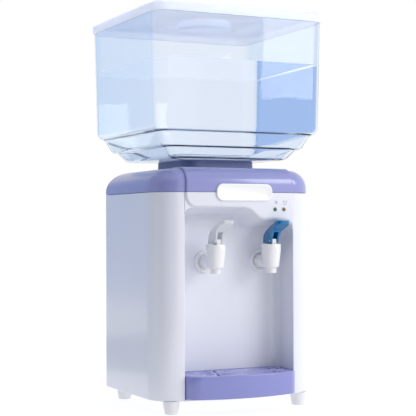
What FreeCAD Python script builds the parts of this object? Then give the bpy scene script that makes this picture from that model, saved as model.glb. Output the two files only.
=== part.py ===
import FreeCAD, Part
import math
import os

import Sketcher

from FreeCAD import Placement, Rotation, Vector

# Countertop water dispenser: a housing with a tap recess, a cooled reservoir behind it and a lift-off tank on top.
# Millimetres, +Z up, front towards -Y, origin on the surface it stands on, under the middle of its bounding box.

doc = FreeCAD.newDocument("water_dispenser")
sheet = doc.addObject("Spreadsheet::Sheet", "Sizes")

SIZES = {
    # housing
    "housing_half": 110, "housing_front": -93, "housing_back": 85, "housing_base": 16, "split_height": 268,
    "cover_top": 297, "wall": 3, "front_corner": 36, "back_corner": 8, "cover_side_round": 25,
    "cover_front_round": 18, "base_thickness": 2, "skin_gap": 0.3,
    # raised control panel, badge and indicators
    "panel_half": 74, "panel_front": -96, "panel_top": 299, "panel_rear": -58, "panel_corner": 15,
    "badge_left": -34, "badge_right": 43, "badge_low": 257.4, "badge_high": 278.5, "badge_thick": 2.5,
    "badge_corner": 9, "lens_radius": 2.45, "lens_height": 247.2, "green_x": 47.9, "amber_x": 60.5,
    # tap recess
    "recess_half": 75, "recess_back": -50, "brow_high": 249.8, "brow_low": 234.8, "brow_start": 2,
    "brow_run": 36, "brow_skirt": 22, "brow_left_round": 9, "brow_right_round": 15,
    "ceiling_drop": 13, "cove_radius": 12,
    # taps
    "left_tap_x": -28, "right_tap_x": 49.5, "tap_y": -82, "tap_top": 204, "tap_radius": 12.5,
    "tap_taper_top": 196, "tap_waist": 9.75, "tap_waist_height": 174.5, "spout_radius": 6.85,
    "spout_end": 167.5, "spout_bore": 3.5, "chamber_radius": 7, "chamber_floor": 178, "neck_height": 182.3,
    "neck_radius": 8.25, "tail_radius": 6.5, "tail_end": -28, "barb_radius": 4, "barb_y": -33, "barb_end": 158,
    "port_radius": 2.6, "bonnet_radius": 11, "bonnet_step": 200, "bonnet_plug": 196, "stem_radius": 2.5,
    "stem_bore": 2.58, "stem_top": 210, "seal_radius": 5.5, "seal_thick": 3, "seat_gap": 0.05,
    "lever_pivot_y": -88.6, "lever_pivot_z": 207.8, "lever_heel": 3.3, "lever_leg_half": 5.8,
    "lever_slot_half": 3.2, "lever_slot_top": 219, "lever_web": 4, "lever_back_high": 214.4,
    "lever_thumb_half": 9, "lever_thumb_y": -106, "lever_tip_y": -119.4,
    "lug_half": 2.9, "pin_radius": 1.4, "pin_hole": 1.46, "pin_half": 5.7,
    "ring_radius": 14.2, "ring_thick": 4, "nut_radius": 11, "nut_thick": 6,
    # drip tray and grille
    "tray_half": 74.4, "tray_back": -50.6, "tray_front": -119.75, "tray_bow": 208, "tray_low": 18.4,
    "tray_high": 46.6, "tray_wall": 2.4, "tray_edge": 1.6, "tray_corner": 20, "grille_inset": 3, "grille_top": 46,
    "grille_thick": 2.5, "ledge_inset": 5.5, "slot_near": 9, "slot_far": 24, "slot_half": 1.9,
    # feet
    "foot_x": 88.1, "foot_front_y": -80.9, "foot_back_y": 68.4, "foot_top": 10.5, "foot_low": 8,
    "foot_screw": 2.5, "foot_screw_head": 4.5,
    # tank, lid and valve
    "tank_y": 5.85, "tank_half_x": 116.8, "tank_half_y": 111.9, "tank_corner": 19.6, "tank_top": 484.2,
    "tank_wall": 2.4, "tank_floor": 341, "tank_step": 323, "tank_base": 310.5, "tank_draft": 2.7,
    "lid_over": 2, "lid_top": 495, "lid_skin": 2.5, "lid_edge": 2.4, "dish_radius": 33, "dish_low": 481,
    "collar_half": 53, "collar_front": -47.15, "collar_back": 58.85, "collar_corner": 20, "collar_wall": 14,
    "neck_outer": 17, "neck_inner": 14.5, "neck_low": 288, "cap_outer": 18.3, "cap_low": 284,
    "cap_high": 300, "cap_hole": 6.5, "plunger_disc": 9.5, "plunger_stem": 2.5, "plunger_bore": 2.58,
    "plunger_disc_low": 290, "plunger_top": 309, "hub_low": 304, "hub_high": 307, "hub_radius": 5,
    "receiver_outer": 24, "receiver_bore": 19.2, "receiver_low": 262, "receiver_floor": 266,
    "receiver_high": 300, "receiver_flange": 32, "spike_radius": 3, "inlet_y": 11, "inlet_end": 250,
    # cooling
    "cold_x": 60, "cold_y": 12, "cold_radius": 26, "cold_wall": 1.5, "cold_low": 120, "cold_high": 222,
    "foam_radius": 33, "foam_low": 112, "foam_high": 230, "block_half": 20, "block_back": 46,
    "module_back": 49.5, "sink_half": 44, "sink_base_back": 53, "sink_back": 63, "cool_z": 170,
    "inflow_y": 16.85, "inflow_z": 198, "inflow_end": 16, "outflow_end": 98,
    "fan_half": 40, "fan_front": 64, "fan_back": 77, "fan_hole": 37.5, "fan_hub": 14.5, "fan_blade": 36.5,
    "fan_bolt": 35.75,
    # electrics and rear panel
    "board_thick": 1.6, "board_x": -98, "board_width": 74, "board_y": -6, "board_depth": 74, "board_z": 40,
    "standoff_radius": 3.5, "transformer_side": 34, "panel_thick": 2.5, "rear_half": 102, "rear_low": 26,
    "rear_high": 250, "rear_opening_half": 92, "rear_opening_low": 40, "rear_opening_high": 236,
    "switch_x": -60, "switch_z": 78, "rocker_y": 84.5, "gland_x": -60, "gland_z": 52, "gland_bore": 3.6,
    "screw_radius": 1.5, "screw_head": 3.2, "hose_inner": 4, "hose_outer": 5.5,
}


def fill_sheet():
    """One row for each size: its name, its value and the alias that the parts are bound to."""
    for row, (name, number) in enumerate(SIZES.items(), start=1):
        sheet.set(f"A{row}", name)
        sheet.set(f"B{row}", str(number))
        sheet.setAlias(f"B{row}", name)
    doc.recompute()


def value(text):
    """The number of a sum written in words, such as "cover_top - wall"."""
    total, sign = 0.0, 1
    for word in str(text).split():
        if word in "+-":
            sign = 1 if word == "+" else -1
        else:
            total += sign * float(SIZES[word] if word in SIZES else word)
            sign = 1
    return total


def bind(thing, prop, text):
    """Binds a property to the same sum, written with the sheet's aliases."""
    words = [f"Sizes.{word}" if word in SIZES else word for word in str(text).split()]
    thing.setExpression(prop, " ".join(words))


subparts = {}


def keep(label, thing):
    """Registers a finished sub-part under the name of its file."""
    thing.Label = label
    subparts[label] = thing
    return thing


def place(thing, east="0", north="0", up="0"):
    for axis, text in zip("xyz", (east, north, up)):
        bind(thing, f".Placement.Base.{axis}", text)
    return thing


# ---- Part Design helpers ----------------------------------------------------------------------------------------

def new_body(label):
    return keep(label, doc.addObject("PartDesign::Body", label))


def new_sketch(body, plane, offset="0"):
    """A sketch on one of the body's own origin planes, moved along the plane's normal."""
    role = [f for f in body.Origin.OriginFeatures if f.Role == plane][0]
    sketch = body.newObject("Sketcher::SketchObject", "profile")
    sketch.AttachmentSupport = (role, [""])
    sketch.MapMode = "FlatFace"
    bind(sketch, ".AttachmentOffset.Base.z", offset)
    return sketch


def fix_point(sketch, geometry, end, east, north):
    """Holds one point of a sketch at bound distances from the sketch's origin."""
    for kind, text in (("DistanceX", east), ("DistanceY", north)):
        number = value(text)
        index = sketch.addConstraint(Sketcher.Constraint(kind, -1, 1, geometry, end, number))
        bind(sketch, f"Constraints[{index}]", text)


def outline(sketch, points):
    """A closed outline of straight lines through points given as pairs of sums."""
    corners = [Vector(value(east), value(north), 0) for east, north in points]
    first = sketch.GeometryCount
    count = len(points)
    for i in range(count):
        sketch.addGeometry(Part.LineSegment(corners[i], corners[(i + 1) % count]), False)
    for i in range(count):
        sketch.addConstraint(Sketcher.Constraint("Coincident", first + i, 2, first + (i + 1) % count, 1))
        fix_point(sketch, first + i, 1, *points[i])


def rectangle(sketch, left, right, low, high):
    outline(sketch, [(left, low), (right, low), (right, high), (left, high)])


def circle(sketch, east, north, radius):
    centre = Vector(value(east), value(north), 0)
    index = sketch.addGeometry(Part.Circle(centre, Vector(0, 0, 1), value(radius)), False)
    fix_point(sketch, index, 3, east, north)
    ring = sketch.addConstraint(Sketcher.Constraint("Radius", index, value(radius)))
    bind(sketch, f"Constraints[{ring}]", radius)


def pad(body, sketch, length, backwards=False, kind="Pad"):
    feature = body.newObject(f"PartDesign::{kind}", kind.lower())
    feature.Profile = sketch
    bind(feature, "Length", length)
    feature.Reversed = backwards
    sketch.Visibility = False
    doc.recompute()
    return feature


def pocket(body, sketch, length, backwards=False):
    before = body.Shape.Volume
    feature = pad(body, sketch, length, backwards, "Pocket")
    if body.Shape.Volume > before - 0.001:
        raise RuntimeError(f"{body.Label}: a pocket cuts nothing")
    return feature


def turn(body, sketch, kind="Revolution"):
    """A full turn of a sketch about its own vertical axis."""
    feature = body.newObject(f"PartDesign::{kind}", kind.lower())
    feature.Profile = sketch
    feature.ReferenceAxis = (sketch, ["V_Axis"])
    feature.Angle = 360
    doc.recompute()
    return feature


def dress(body, chosen, radius, kind="Fillet"):
    """Rounds the edges of the body for which chosen(edge) is true."""
    base = body.Tip
    names = [f"Edge{i + 1}" for i, edge in enumerate(base.Shape.Edges) if chosen(edge)]
    feature = body.newObject(f"PartDesign::{kind}", kind.lower())
    feature.Base = (base, names)
    bind(feature, "Radius" if kind == "Fillet" else "Size", radius)
    doc.recompute()
    return feature


def upright_at(east, north, slack=0.6):
    """Chooses the vertical edges that stand at a corner of the plan."""
    def chosen(edge):
        box = edge.BoundBox
        flat = box.XLength < 0.01 and box.YLength < 0.01 and box.ZLength > 1
        return flat and abs(abs(box.XMin) - abs(value(east))) < slack and abs(box.YMin - value(north)) < slack
    return chosen


def turned(label, points, holes=(), east="0", north="0", up="0"):
    """A turned piece about a vertical axis: its half section, then any bored half sections."""
    body = new_body(label)
    sketch = new_sketch(body, "XZ_Plane")
    outline(sketch, points)
    turn(body, sketch)
    for hole in holes:
        cutter = new_sketch(body, "XZ_Plane")
        outline(cutter, hole)
        turn(body, cutter, "Groove")
    return place(body, east, north, up)


# ---- Part helpers -----------------------------------------------------------------------------------------------

def block(west, east, front, back, low, high):
    box = doc.addObject("Part::Box", "block")
    for prop, first, last in (("Length", west, east), ("Width", front, back), ("Height", low, high)):
        bind(box, prop, f"{last} - ( {first} )")
    return place(box, west, front, low)


def rod(east, north, low, radius, length, along="Z"):
    """A cylinder that starts at a point and runs up, or back along +Y, or along +X."""
    cylinder = doc.addObject("Part::Cylinder", "rod")
    bind(cylinder, "Radius", radius)
    bind(cylinder, "Height", length)
    turns = {"Z": Rotation(), "Y": Rotation(Vector(1, 0, 0), -90), "X": Rotation(Vector(0, 1, 0), 90)}
    cylinder.Placement = Placement(Vector(), turns[along])
    return place(cylinder, east, north, low)


def fuse(*pieces):
    whole = doc.addObject("Part::MultiFuse", "whole")
    whole.Shapes = list(pieces)
    return whole


def cut(base, *tools):
    rest = doc.addObject("Part::Cut", "rest")
    rest.Base = base
    rest.Tool = tools[0] if len(tools) == 1 else fuse(*tools)
    return rest


def group(label, pieces):
    """Like pieces that share one node as separate solids."""
    whole = doc.addObject("Part::Compound", label)
    whole.Links = list(pieces)
    return keep(label, whole)


def feature(label, shape):
    """A sub-part whose form is worked out below from the sheet's sizes."""
    thing = doc.addObject("Part::Feature", label)
    thing.Shape = shape.removeSplitter()
    return keep(label, thing)


def prism(edges, direction):
    return Part.Face(Part.Wire(edges)).extrude(direction)


def polygon(points):
    return Part.makePolygon(list(points) + [points[0]])


def rounded_plan(half_x, front, back, corners, height):
    """A closed wire in plan: a rectangle with front and back corner radii, at a height."""
    front_radius, back_radius = corners
    spots = [(-half_x, front, front_radius, 180), (half_x, front, front_radius, 270),
             (half_x, back, back_radius, 0), (-half_x, back, back_radius, 90)]
    edges, ends = [], []
    for east, north, radius, start in spots:
        centre = Vector(east - math.copysign(radius, east), north + (radius if north == front else -radius), height)
        arc = Part.ArcOfCircle(Part.Circle(centre, Vector(0, 0, 1), radius), math.radians(start),
                               math.radians(start + 90))
        ends.append((arc.StartPoint, arc.EndPoint))
        edges.append(arc.toShape())
    for i in range(4):
        edges.insert(2 * i + 1, Part.LineSegment(ends[i][1], ends[(i + 1) % 4][0]).toShape())
    return Part.Wire(edges)


# ---- housing ----------------------------------------------------------------------------------------------------

def make_housing():
    """The white outer skin: one wall all round, open below, above, at the tap recess and at the rear panel."""
    body = new_body("housing_shell")
    outer = new_sketch(body, "XY_Plane", "housing_base")
    rectangle(outer, "- housing_half", "housing_half", "housing_front", "housing_back")
    pad(body, outer, "split_height - housing_base")
    hollow = new_sketch(body, "XY_Plane", "split_height")
    rectangle(hollow, "- housing_half + wall", "housing_half - wall", "housing_front + wall", "housing_back - wall")
    pocket(body, hollow, "split_height - housing_base")
    dress(body, upright_at("housing_half", "housing_front"), "front_corner")
    dress(body, upright_at("housing_half - wall", "housing_front + wall"), "front_corner - wall")
    dress(body, upright_at("housing_half", "housing_back"), "back_corner")
    dress(body, upright_at("housing_half - wall", "housing_back - wall"), "back_corner - wall")
    mouth = new_sketch(body, "XZ_Plane", "- housing_front")
    rectangle(mouth, "- recess_half", "recess_half", "housing_base", "split_height")
    pocket(body, mouth, "wall + wall")
    opening = new_sketch(body, "XZ_Plane", "- housing_back")
    rectangle(opening, "- rear_opening_half", "rear_opening_half", "rear_opening_low", "rear_opening_high")
    pocket(body, opening, "wall + wall", backwards=True)
    for east, height in rear_screws():
        hole = new_sketch(body, "XZ_Plane", "- housing_back")
        circle(hole, east, height, "screw_radius")
        pocket(body, hole, "wall + wall", backwards=True)


def rear_screws():
    """Places of the six rear panel screws, as sums."""
    heights = ("rear_low + 6", "rear_low + 112", "rear_high - 6")
    edges = ("- rear_half + 6", "rear_half - 6")
    return [(east, height) for east in edges for height in heights]


def recess_edge(grow, north, drop):
    """The outline of the tap recess: square at the foot, with an S-shaped brow that steps down to the right."""
    half, foot = value("recess_half") + grow, value("housing_base + base_thickness")
    high, low = value("brow_high") + grow - drop, value("brow_low") + grow - drop
    left_round, right_round = value("brow_left_round"), value("brow_right_round")
    start, run = value("brow_start"), value("brow_run")
    fall = high - low
    sweep = (run ** 2 + fall ** 2) / (4 * fall)
    lean = math.asin(run / 2 / sweep)
    diagonal = math.sqrt(0.5)

    def at(east, height):
        return Vector(east, north, height)

    def arc(first, middle, last):
        return Part.Arc(at(*first), at(*middle), at(*last)).toShape()

    def line(first, last):
        return Part.LineSegment(at(*first), at(*last)).toShape()

    left_centre = (-half + left_round, high - left_round)
    right_centre = (half - right_round, low - right_round)
    middle = (start + run / 2, high - fall / 2)
    upper = (start + sweep * math.sin(lean / 2), high - sweep * (1 - math.cos(lean / 2)))
    lower = (start + run - sweep * math.sin(lean / 2), low + sweep * (1 - math.cos(lean / 2)))
    return Part.Wire([
        line((-half, foot), (-half, left_centre[1])),
        arc((-half, left_centre[1]),
            (left_centre[0] - left_round * diagonal, left_centre[1] + left_round * diagonal),
            (left_centre[0], high)),
        line((left_centre[0], high), (start, high)),
        arc((start, high), upper, middle),
        arc(middle, lower, (start + run, low)),
        line((start + run, low), (right_centre[0], low)),
        arc((right_centre[0], low),
            (right_centre[0] + right_round * diagonal, right_centre[1] + right_round * diagonal),
            (half, right_centre[1])),
        line((half, right_centre[1]), (half, foot)),
        line((half, foot), (-half, foot)),
    ])


def recess_solid(grow, front, back):
    """The recess as a solid whose ceiling falls towards its back wall and whose back corners are coved."""
    drop = value("ceiling_drop")
    depth = value("recess_back - panel_front")
    falls = [drop * (north - value("panel_front")) / depth for north in (front, back)]
    solid = Part.makeLoft([recess_edge(grow, front, falls[0]), recess_edge(grow, back, falls[1])], True, True)
    cove = value("cove_radius")
    plan = rounded_plan(value("recess_half") + grow, front - 2 * cove, back, (cove, cove), 0)
    return solid.common(Part.Face(plan).extrude(Vector(0, 0, value("split_height"))))


def make_fascia():
    """The white front moulding: the recess liner, its brow and the lower part of the raised control panel."""
    wall, panel_front = value("wall"), value("panel_front")
    front, split = value("housing_front"), value("split_height")
    liner = recess_solid(wall, front + wall, value("recess_back") + wall)
    half = value("recess_half")
    shoulder = value("brow_low - brow_skirt")
    brow = Part.makeBox(2 * half, wall, split - shoulder, Vector(-half, front, shoulder))
    panel_half, corner = value("panel_half"), value("panel_corner")
    raised = Part.makeBox(2 * panel_half, front - panel_front, split - shoulder,
                          Vector(-panel_half, panel_front, shoulder))
    below = value("brow_high")
    square = Part.makeBox(corner, front - panel_front, below + corner - shoulder,
                          Vector(-panel_half, panel_front, shoulder))
    disc = Part.makeCylinder(corner, front - panel_front,
                             Vector(-panel_half + corner, panel_front, below + corner), Vector(0, 1, 0))
    raised = raised.cut(square.cut(disc))
    shape = liner.fuse([brow, raised])
    shape = shape.cut(recess_solid(0, panel_front, value("recess_back")))
    shape = shape.cut(Part.makeBox(2 * half, 20, split, Vector(-half, panel_front - 20, 0)))
    inwards = Vector(0, 1, 0)
    for tap in ("left_tap_x", "right_tap_x"):
        start = Vector(value(tap), value("recess_back") - 1, value("neck_height"))
        shape = shape.cut(Part.makeCylinder(value("tail_radius") + 0.1, value("wall") + 2, start, inwards))
    for lens in ("green_x", "amber_x"):
        start = Vector(value(lens), panel_front - 1, value("lens_height"))
        shape = shape.cut(Part.makeCylinder(value("lens_radius"), 8, start, inwards))
    feature("front_fascia", shape.cut(subparts["housing_shell"].Shape))


def rounded_cap(half, front, back, top, rounds, corners):
    """A block with rounded plan corners whose upper edges roll over: front, side and back radii."""
    low = value("split_height")
    front_round, side_round = rounds
    plan = Part.Face(rounded_plan(half, front, back, corners, low)).extrude(Vector(0, 0, top - low + 5))

    def rolled(first, last, first_round, last_round, at):
        diagonal = math.sqrt(0.5)
        a, b = at(first, top - first_round), at(first + first_round, top)
        c, d = at(last - last_round, top), at(last, top - last_round)
        near = at(first + first_round * (1 - diagonal), top - first_round * (1 - diagonal))
        far = at(last - last_round * (1 - diagonal), top - last_round * (1 - diagonal))
        foot_a, foot_d = at(first, low), at(last, low)
        return [Part.LineSegment(foot_a, a).toShape(), Part.Arc(a, near, b).toShape(),
                Part.LineSegment(b, c).toShape(), Part.Arc(c, far, d).toShape(),
                Part.LineSegment(d, foot_d).toShape(), Part.LineSegment(foot_d, foot_a).toShape()]

    across = prism(rolled(-half, half, side_round, side_round, lambda east, up: Vector(east, front, up)),
                   Vector(0, back - front, 0))
    along = prism(rolled(front, back, front_round, side_round, lambda north, up: Vector(-half, north, up)),
                  Vector(2 * half, 0, 0))
    return plan.common(across).common(along)


def make_cover():
    """The lavender top cover with its raised front field and the hole for the inlet receiver."""
    half, front, back = value("housing_half"), value("housing_front"), value("housing_back")
    top, wall = value("cover_top"), value("wall")
    corners = (value("front_corner"), value("back_corner"))
    rounds = (value("cover_front_round"), value("cover_side_round"))
    skin = rounded_cap(half, front, back, top, rounds, corners)
    field = rounded_cap(value("panel_half"), value("panel_front"), value("panel_rear"), value("panel_top"),
                        (rounds[0] + 2, 1), (0.5, 0.5))
    inner = rounded_cap(half - wall, front + wall, back - wall, top - wall,
                        (rounds[0] - wall, rounds[1] - wall), (corners[0] - wall, corners[1] - wall))
    shape = skin.fuse(field).cut(inner)
    shape = shape.cut(Part.makeCylinder(value("receiver_outer") + 0.2, 40,
                                        Vector(0, value("tank_y"), value("split_height") + 5)))
    for east, north in cover_screws():
        boss = Part.makeCylinder(4, 20, Vector(east, north, top - wall - 20))
        bore = Part.makeCylinder(value("screw_radius"), 14, Vector(east, north, top - wall - 20))
        shape = shape.fuse(boss.common(inner)).cut(bore)
    feature("top_cover", shape)


def cover_screws():
    """The four bosses where the inner frame holds the cover down."""
    side, front, back = 76, -60, 50
    return [(-side, front), (side, front), (side, back), (-side, back)]


def make_collar():
    """The dark seat ring that the tank's base rests on."""
    low, high = value("cover_top"), value("tank_base")
    half, front, back = value("collar_half"), value("collar_front"), value("collar_back")
    corner, wall = value("collar_corner"), value("collar_wall")
    ring = Part.Face(rounded_plan(half, front, back, (corner, corner), low)).extrude(Vector(0, 0, high - low))
    inside = Part.Face(rounded_plan(half - wall, front + wall, back - wall, (corner - wall / 2, corner - wall / 2),
                                    low + 2)).extrude(Vector(0, 0, high - low))
    bore = Part.makeCylinder(value("receiver_flange") + 0.3, high, Vector(0, value("tank_y"), 0))
    feature("tank_collar", ring.cut(inside).cut(bore).cut(subparts["top_cover"].Shape))


def make_base():
    """The base plate that closes the housing below, with a tongue under the tap recess."""
    body = new_body("base_plate")
    plan = new_sketch(body, "XY_Plane", "housing_base")
    rectangle(plan, "- housing_half + wall + skin_gap", "housing_half - wall - skin_gap",
              "housing_front + wall + skin_gap", "housing_back - wall - skin_gap")
    pad(body, plan, "base_thickness")
    dress(body, upright_at("housing_half - wall - skin_gap", "housing_front + wall + skin_gap"),
          "front_corner - wall")
    dress(body, upright_at("housing_half - wall - skin_gap", "housing_back - wall - skin_gap"),
          "back_corner - wall")
    tongue = new_sketch(body, "XY_Plane", "housing_base")
    rectangle(tongue, "- recess_half + skin_gap", "recess_half - skin_gap", "housing_front", "recess_back")
    pad(body, tongue, "base_thickness")
    for east, north in foot_places():
        hole = new_sketch(body, "XY_Plane", "housing_base + base_thickness")
        circle(hole, east, north, "foot_screw")
        pocket(body, hole, "base_thickness")
    vents = new_sketch(body, "XY_Plane", "housing_base + base_thickness")
    for i in range(6):
        rectangle(vents, f"-30 + {12 * i}", f"-26 + {12 * i}", "0", "50")
    pocket(body, vents, "base_thickness")


def foot_places():
    return [(f"{side} foot_x", north) for side in ("-", "") for north in ("foot_front_y", "foot_back_y")]


def make_feet():
    """Four tapered feet with a screw up each centre."""
    names = ("front_left", "back_left", "front_right", "back_right")
    screws = []
    for name, (east, north) in zip(names, foot_places()):
        turned(f"foot_{name}", [("0", "0"), ("foot_low", "0"), ("foot_top", "housing_base"), ("0", "housing_base")],
               [[("0", "0"), ("foot_screw_head + 0.2", "0"), ("foot_screw_head + 0.2", "7"), ("foot_screw", "7"),
                 ("foot_screw", "housing_base"), ("0", "housing_base")]], east, north)
        head = rod(east, north, "4", "foot_screw_head", "3")
        shank = rod(east, north, "7", "foot_screw", "housing_base + 3 - 7")
        screws.append(fuse(head, shank))
    group("foot_screws", screws)


def make_rear():
    """The rear panel with its fan grille and cut-outs, and the screws that hold it."""
    body = new_body("rear_panel")
    plate = new_sketch(body, "XZ_Plane", "- housing_back - panel_thick")
    rectangle(plate, "- rear_half", "rear_half", "rear_low", "rear_high")
    pad(body, plate, "panel_thick")
    dress(body, lambda edge: edge.BoundBox.XLength < 0.01 and edge.BoundBox.ZLength < 0.01, "back_corner")
    cuts = new_sketch(body, "XZ_Plane", "- housing_back - panel_thick")
    for i in range(9):
        reach = math.sqrt(1 - (abs(i - 4) / 5.5) ** 2) * 31
        for side in (-1, 1):
            near, far = sorted((side * 3, side * reach))
            rectangle(cuts, f"cold_x + {near:.2f}", f"cold_x + {far:.2f}", f"cool_z - {33 - 8 * i}",
                      f"cool_z - {29 - 8 * i}")
    for i in range(7):
        rectangle(cuts, "-76", "-22", f"{128 + 14 * i}", f"{133 + 14 * i}")
    rectangle(cuts, "switch_x - 11", "switch_x + 11", "switch_z - 8", "switch_z + 8")
    circle(cuts, "gland_x", "gland_z", "6")
    for east, height in rear_screws():
        circle(cuts, east, height, "screw_radius")
    pocket(body, cuts, "panel_thick", backwards=True)
    screws = []
    for east, height in rear_screws():
        head = rod(east, "housing_back + panel_thick", height, "screw_head", "1.8", "Y")
        shank = rod(east, "housing_back - wall", height, "screw_radius", "wall + panel_thick", "Y")
        screws.append(fuse(head, shank))
    group("rear_screws", screws)


# ---- front details ----------------------------------------------------------------------------------------------

def make_badge():
    """The blank oval badge plate on the raised field, and the two indicator lenses with their board."""
    body = new_body("badge_plate")
    face = new_sketch(body, "XZ_Plane", "- panel_front")
    rectangle(face, "badge_left", "badge_right", "badge_low", "badge_high")
    pad(body, face, "badge_thick")
    dress(body, lambda edge: edge.BoundBox.XLength < 0.01 and edge.BoundBox.ZLength < 0.01, "badge_corner")
    for colour in ("green", "amber"):
        lens = new_body(f"{colour}_lens")
        disc = new_sketch(lens, "XZ_Plane", "- panel_front")
        circle(disc, f"{colour}_x", "lens_height", "lens_radius")
        pad(lens, disc, "0.8")
        stalk = new_sketch(lens, "XZ_Plane", "- panel_front")
        circle(stalk, f"{colour}_x", "lens_height", "lens_radius")
        pad(lens, stalk, "housing_front + wall + 2 - panel_front", backwards=True)
    board = new_body("indicator_board")
    plan = new_sketch(board, "XZ_Plane", "- housing_front - wall - 2")
    rectangle(plan, "green_x - 9", "amber_x + 9", "lens_height - 6", "lens_height + 12")
    pad(board, plan, "board_thick", backwards=True)


# ---- taps -------------------------------------------------------------------------------------------------------

def make_tap(side):
    """One push-lever tap: body, bonnet, sprung stem, lever on its pin, wall ring and lock nut."""
    east = f"{side}_tap_x"
    body = turned(f"{side}_tap_body", [
        ("0", "spout_end"), ("spout_radius", "spout_end"), ("spout_radius", "tap_waist_height"),
        ("tap_waist", "tap_waist_height"), ("tap_radius", "tap_taper_top"), ("tap_radius", "tap_top"),
        ("0", "tap_top")])
    reach = "recess_back - tap_y"
    neck = new_sketch(body, "XZ_Plane")
    circle(neck, "0", "neck_height", "neck_radius")
    pad(body, neck, reach, backwards=True)
    tail = new_sketch(body, "XZ_Plane", "tap_y - recess_back")
    circle(tail, "0", "neck_height", "tail_radius")
    pad(body, tail, "tail_end - recess_back", backwards=True)
    barb = new_sketch(body, "XY_Plane", "barb_end")
    circle(barb, "0", "barb_y - tap_y", "barb_radius")
    pad(body, barb, "neck_height - barb_end")
    inside = new_sketch(body, "XZ_Plane")
    outline(inside, [("0", "spout_end"), ("spout_bore", "spout_end"), ("spout_bore", "chamber_floor"),
                     ("chamber_radius", "chamber_floor"), ("chamber_radius", "bonnet_step"),
                     ("bonnet_radius", "bonnet_step"), ("bonnet_radius", "tap_top"), ("0", "tap_top")])
    turn(body, inside, "Groove")
    port = new_sketch(body, "XZ_Plane")
    circle(port, "0", "neck_height", "port_radius")
    pocket(body, port, "barb_y - tap_y + port_radius")
    drop = new_sketch(body, "XY_Plane", "neck_height")
    circle(drop, "0", "barb_y - tap_y", "port_radius")
    pocket(body, drop, "neck_height - barb_end")
    place(body, east, "tap_y")

    disc = rod(east, "tap_y", "bonnet_step", "bonnet_radius", "tap_top - bonnet_step")
    plug = rod(east, "tap_y", "bonnet_plug", "chamber_radius", "bonnet_step - bonnet_plug")
    lug = block(f"{east} - lug_half", f"{east} + lug_half", "lever_pivot_y - 2.4", "lever_pivot_y + 2.4",
                "tap_top", "lever_pivot_z + 2.6")
    bore = rod(east, "tap_y", "bonnet_plug", "stem_bore", "20")
    eye = rod(f"{east} - lug_half", "lever_pivot_y", "lever_pivot_z", "pin_radius", "lug_half + lug_half", "X")
    keep(f"{side}_tap_bonnet", cut(fuse(disc, plug, lug), bore, eye))
    keep(f"{side}_lever_pin", rod(f"{east} - pin_half", "lever_pivot_y", "lever_pivot_z", "pin_radius",
                                  "pin_half + pin_half", "X"))
    turned(f"{side}_tap_stem", [
        ("0", "chamber_floor + seat_gap"), ("seal_radius", "chamber_floor + seat_gap"),
        ("seal_radius", "chamber_floor + seal_thick"), ("stem_radius", "chamber_floor + seal_thick"),
        ("stem_radius", "stem_top"), ("0", "stem_top")], (), east, "tap_y")
    spring_low = value("chamber_floor + seal_thick") + 0.6
    coil = coil_spring(value("stem_radius") + 1.7, 0.7, spring_low, value("bonnet_plug") - 0.6, 5)
    coil.translate(Vector(value(east), value("tap_y"), 0))
    feature(f"{side}_tap_spring", coil)
    ring = rod(east, "recess_back - ring_thick", "neck_height", "ring_radius", "ring_thick", "Y")
    dish = doc.addObject("Part::Cone", "dish")
    bind(dish, "Radius1", "ring_radius - 1.6")
    bind(dish, "Radius2", "neck_radius + 0.6")
    bind(dish, "Height", "ring_thick - 1")
    dish.Placement = Placement(Vector(), Rotation(Vector(1, 0, 0), -90))
    place(dish, east, "recess_back - ring_thick", "neck_height")
    hole = rod(east, "recess_back - ring_thick", "neck_height", "neck_radius", "ring_thick", "Y")
    keep(f"{side}_tap_ring", cut(ring, dish, hole))
    nut = doc.addObject("Part::Prism", "nut")
    nut.Polygon = 6
    bind(nut, "Circumradius", "nut_radius")
    bind(nut, "Height", "nut_thick")
    nut.Placement = Placement(Vector(), Rotation(Vector(1, 0, 0), -90))
    place(nut, east, "recess_back + wall", "neck_height")
    thread = rod(east, "recess_back + wall", "neck_height", "tail_radius", "nut_thick", "Y")
    keep(f"{side}_lock_nut", cut(nut, thread))
    make_lever(side)


def coil_spring(radius, wire, low, high, turns):
    helix = Part.makeHelix((high - low) / turns, high - low, radius)
    helix.translate(Vector(0, 0, low))
    profile = Part.Wire([Part.makeCircle(wire / 2, Vector(radius, 0, low), Vector(0, 1, 0))])
    return Part.Wire(helix.Edges).makePipeShell([profile], True, True)


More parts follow.
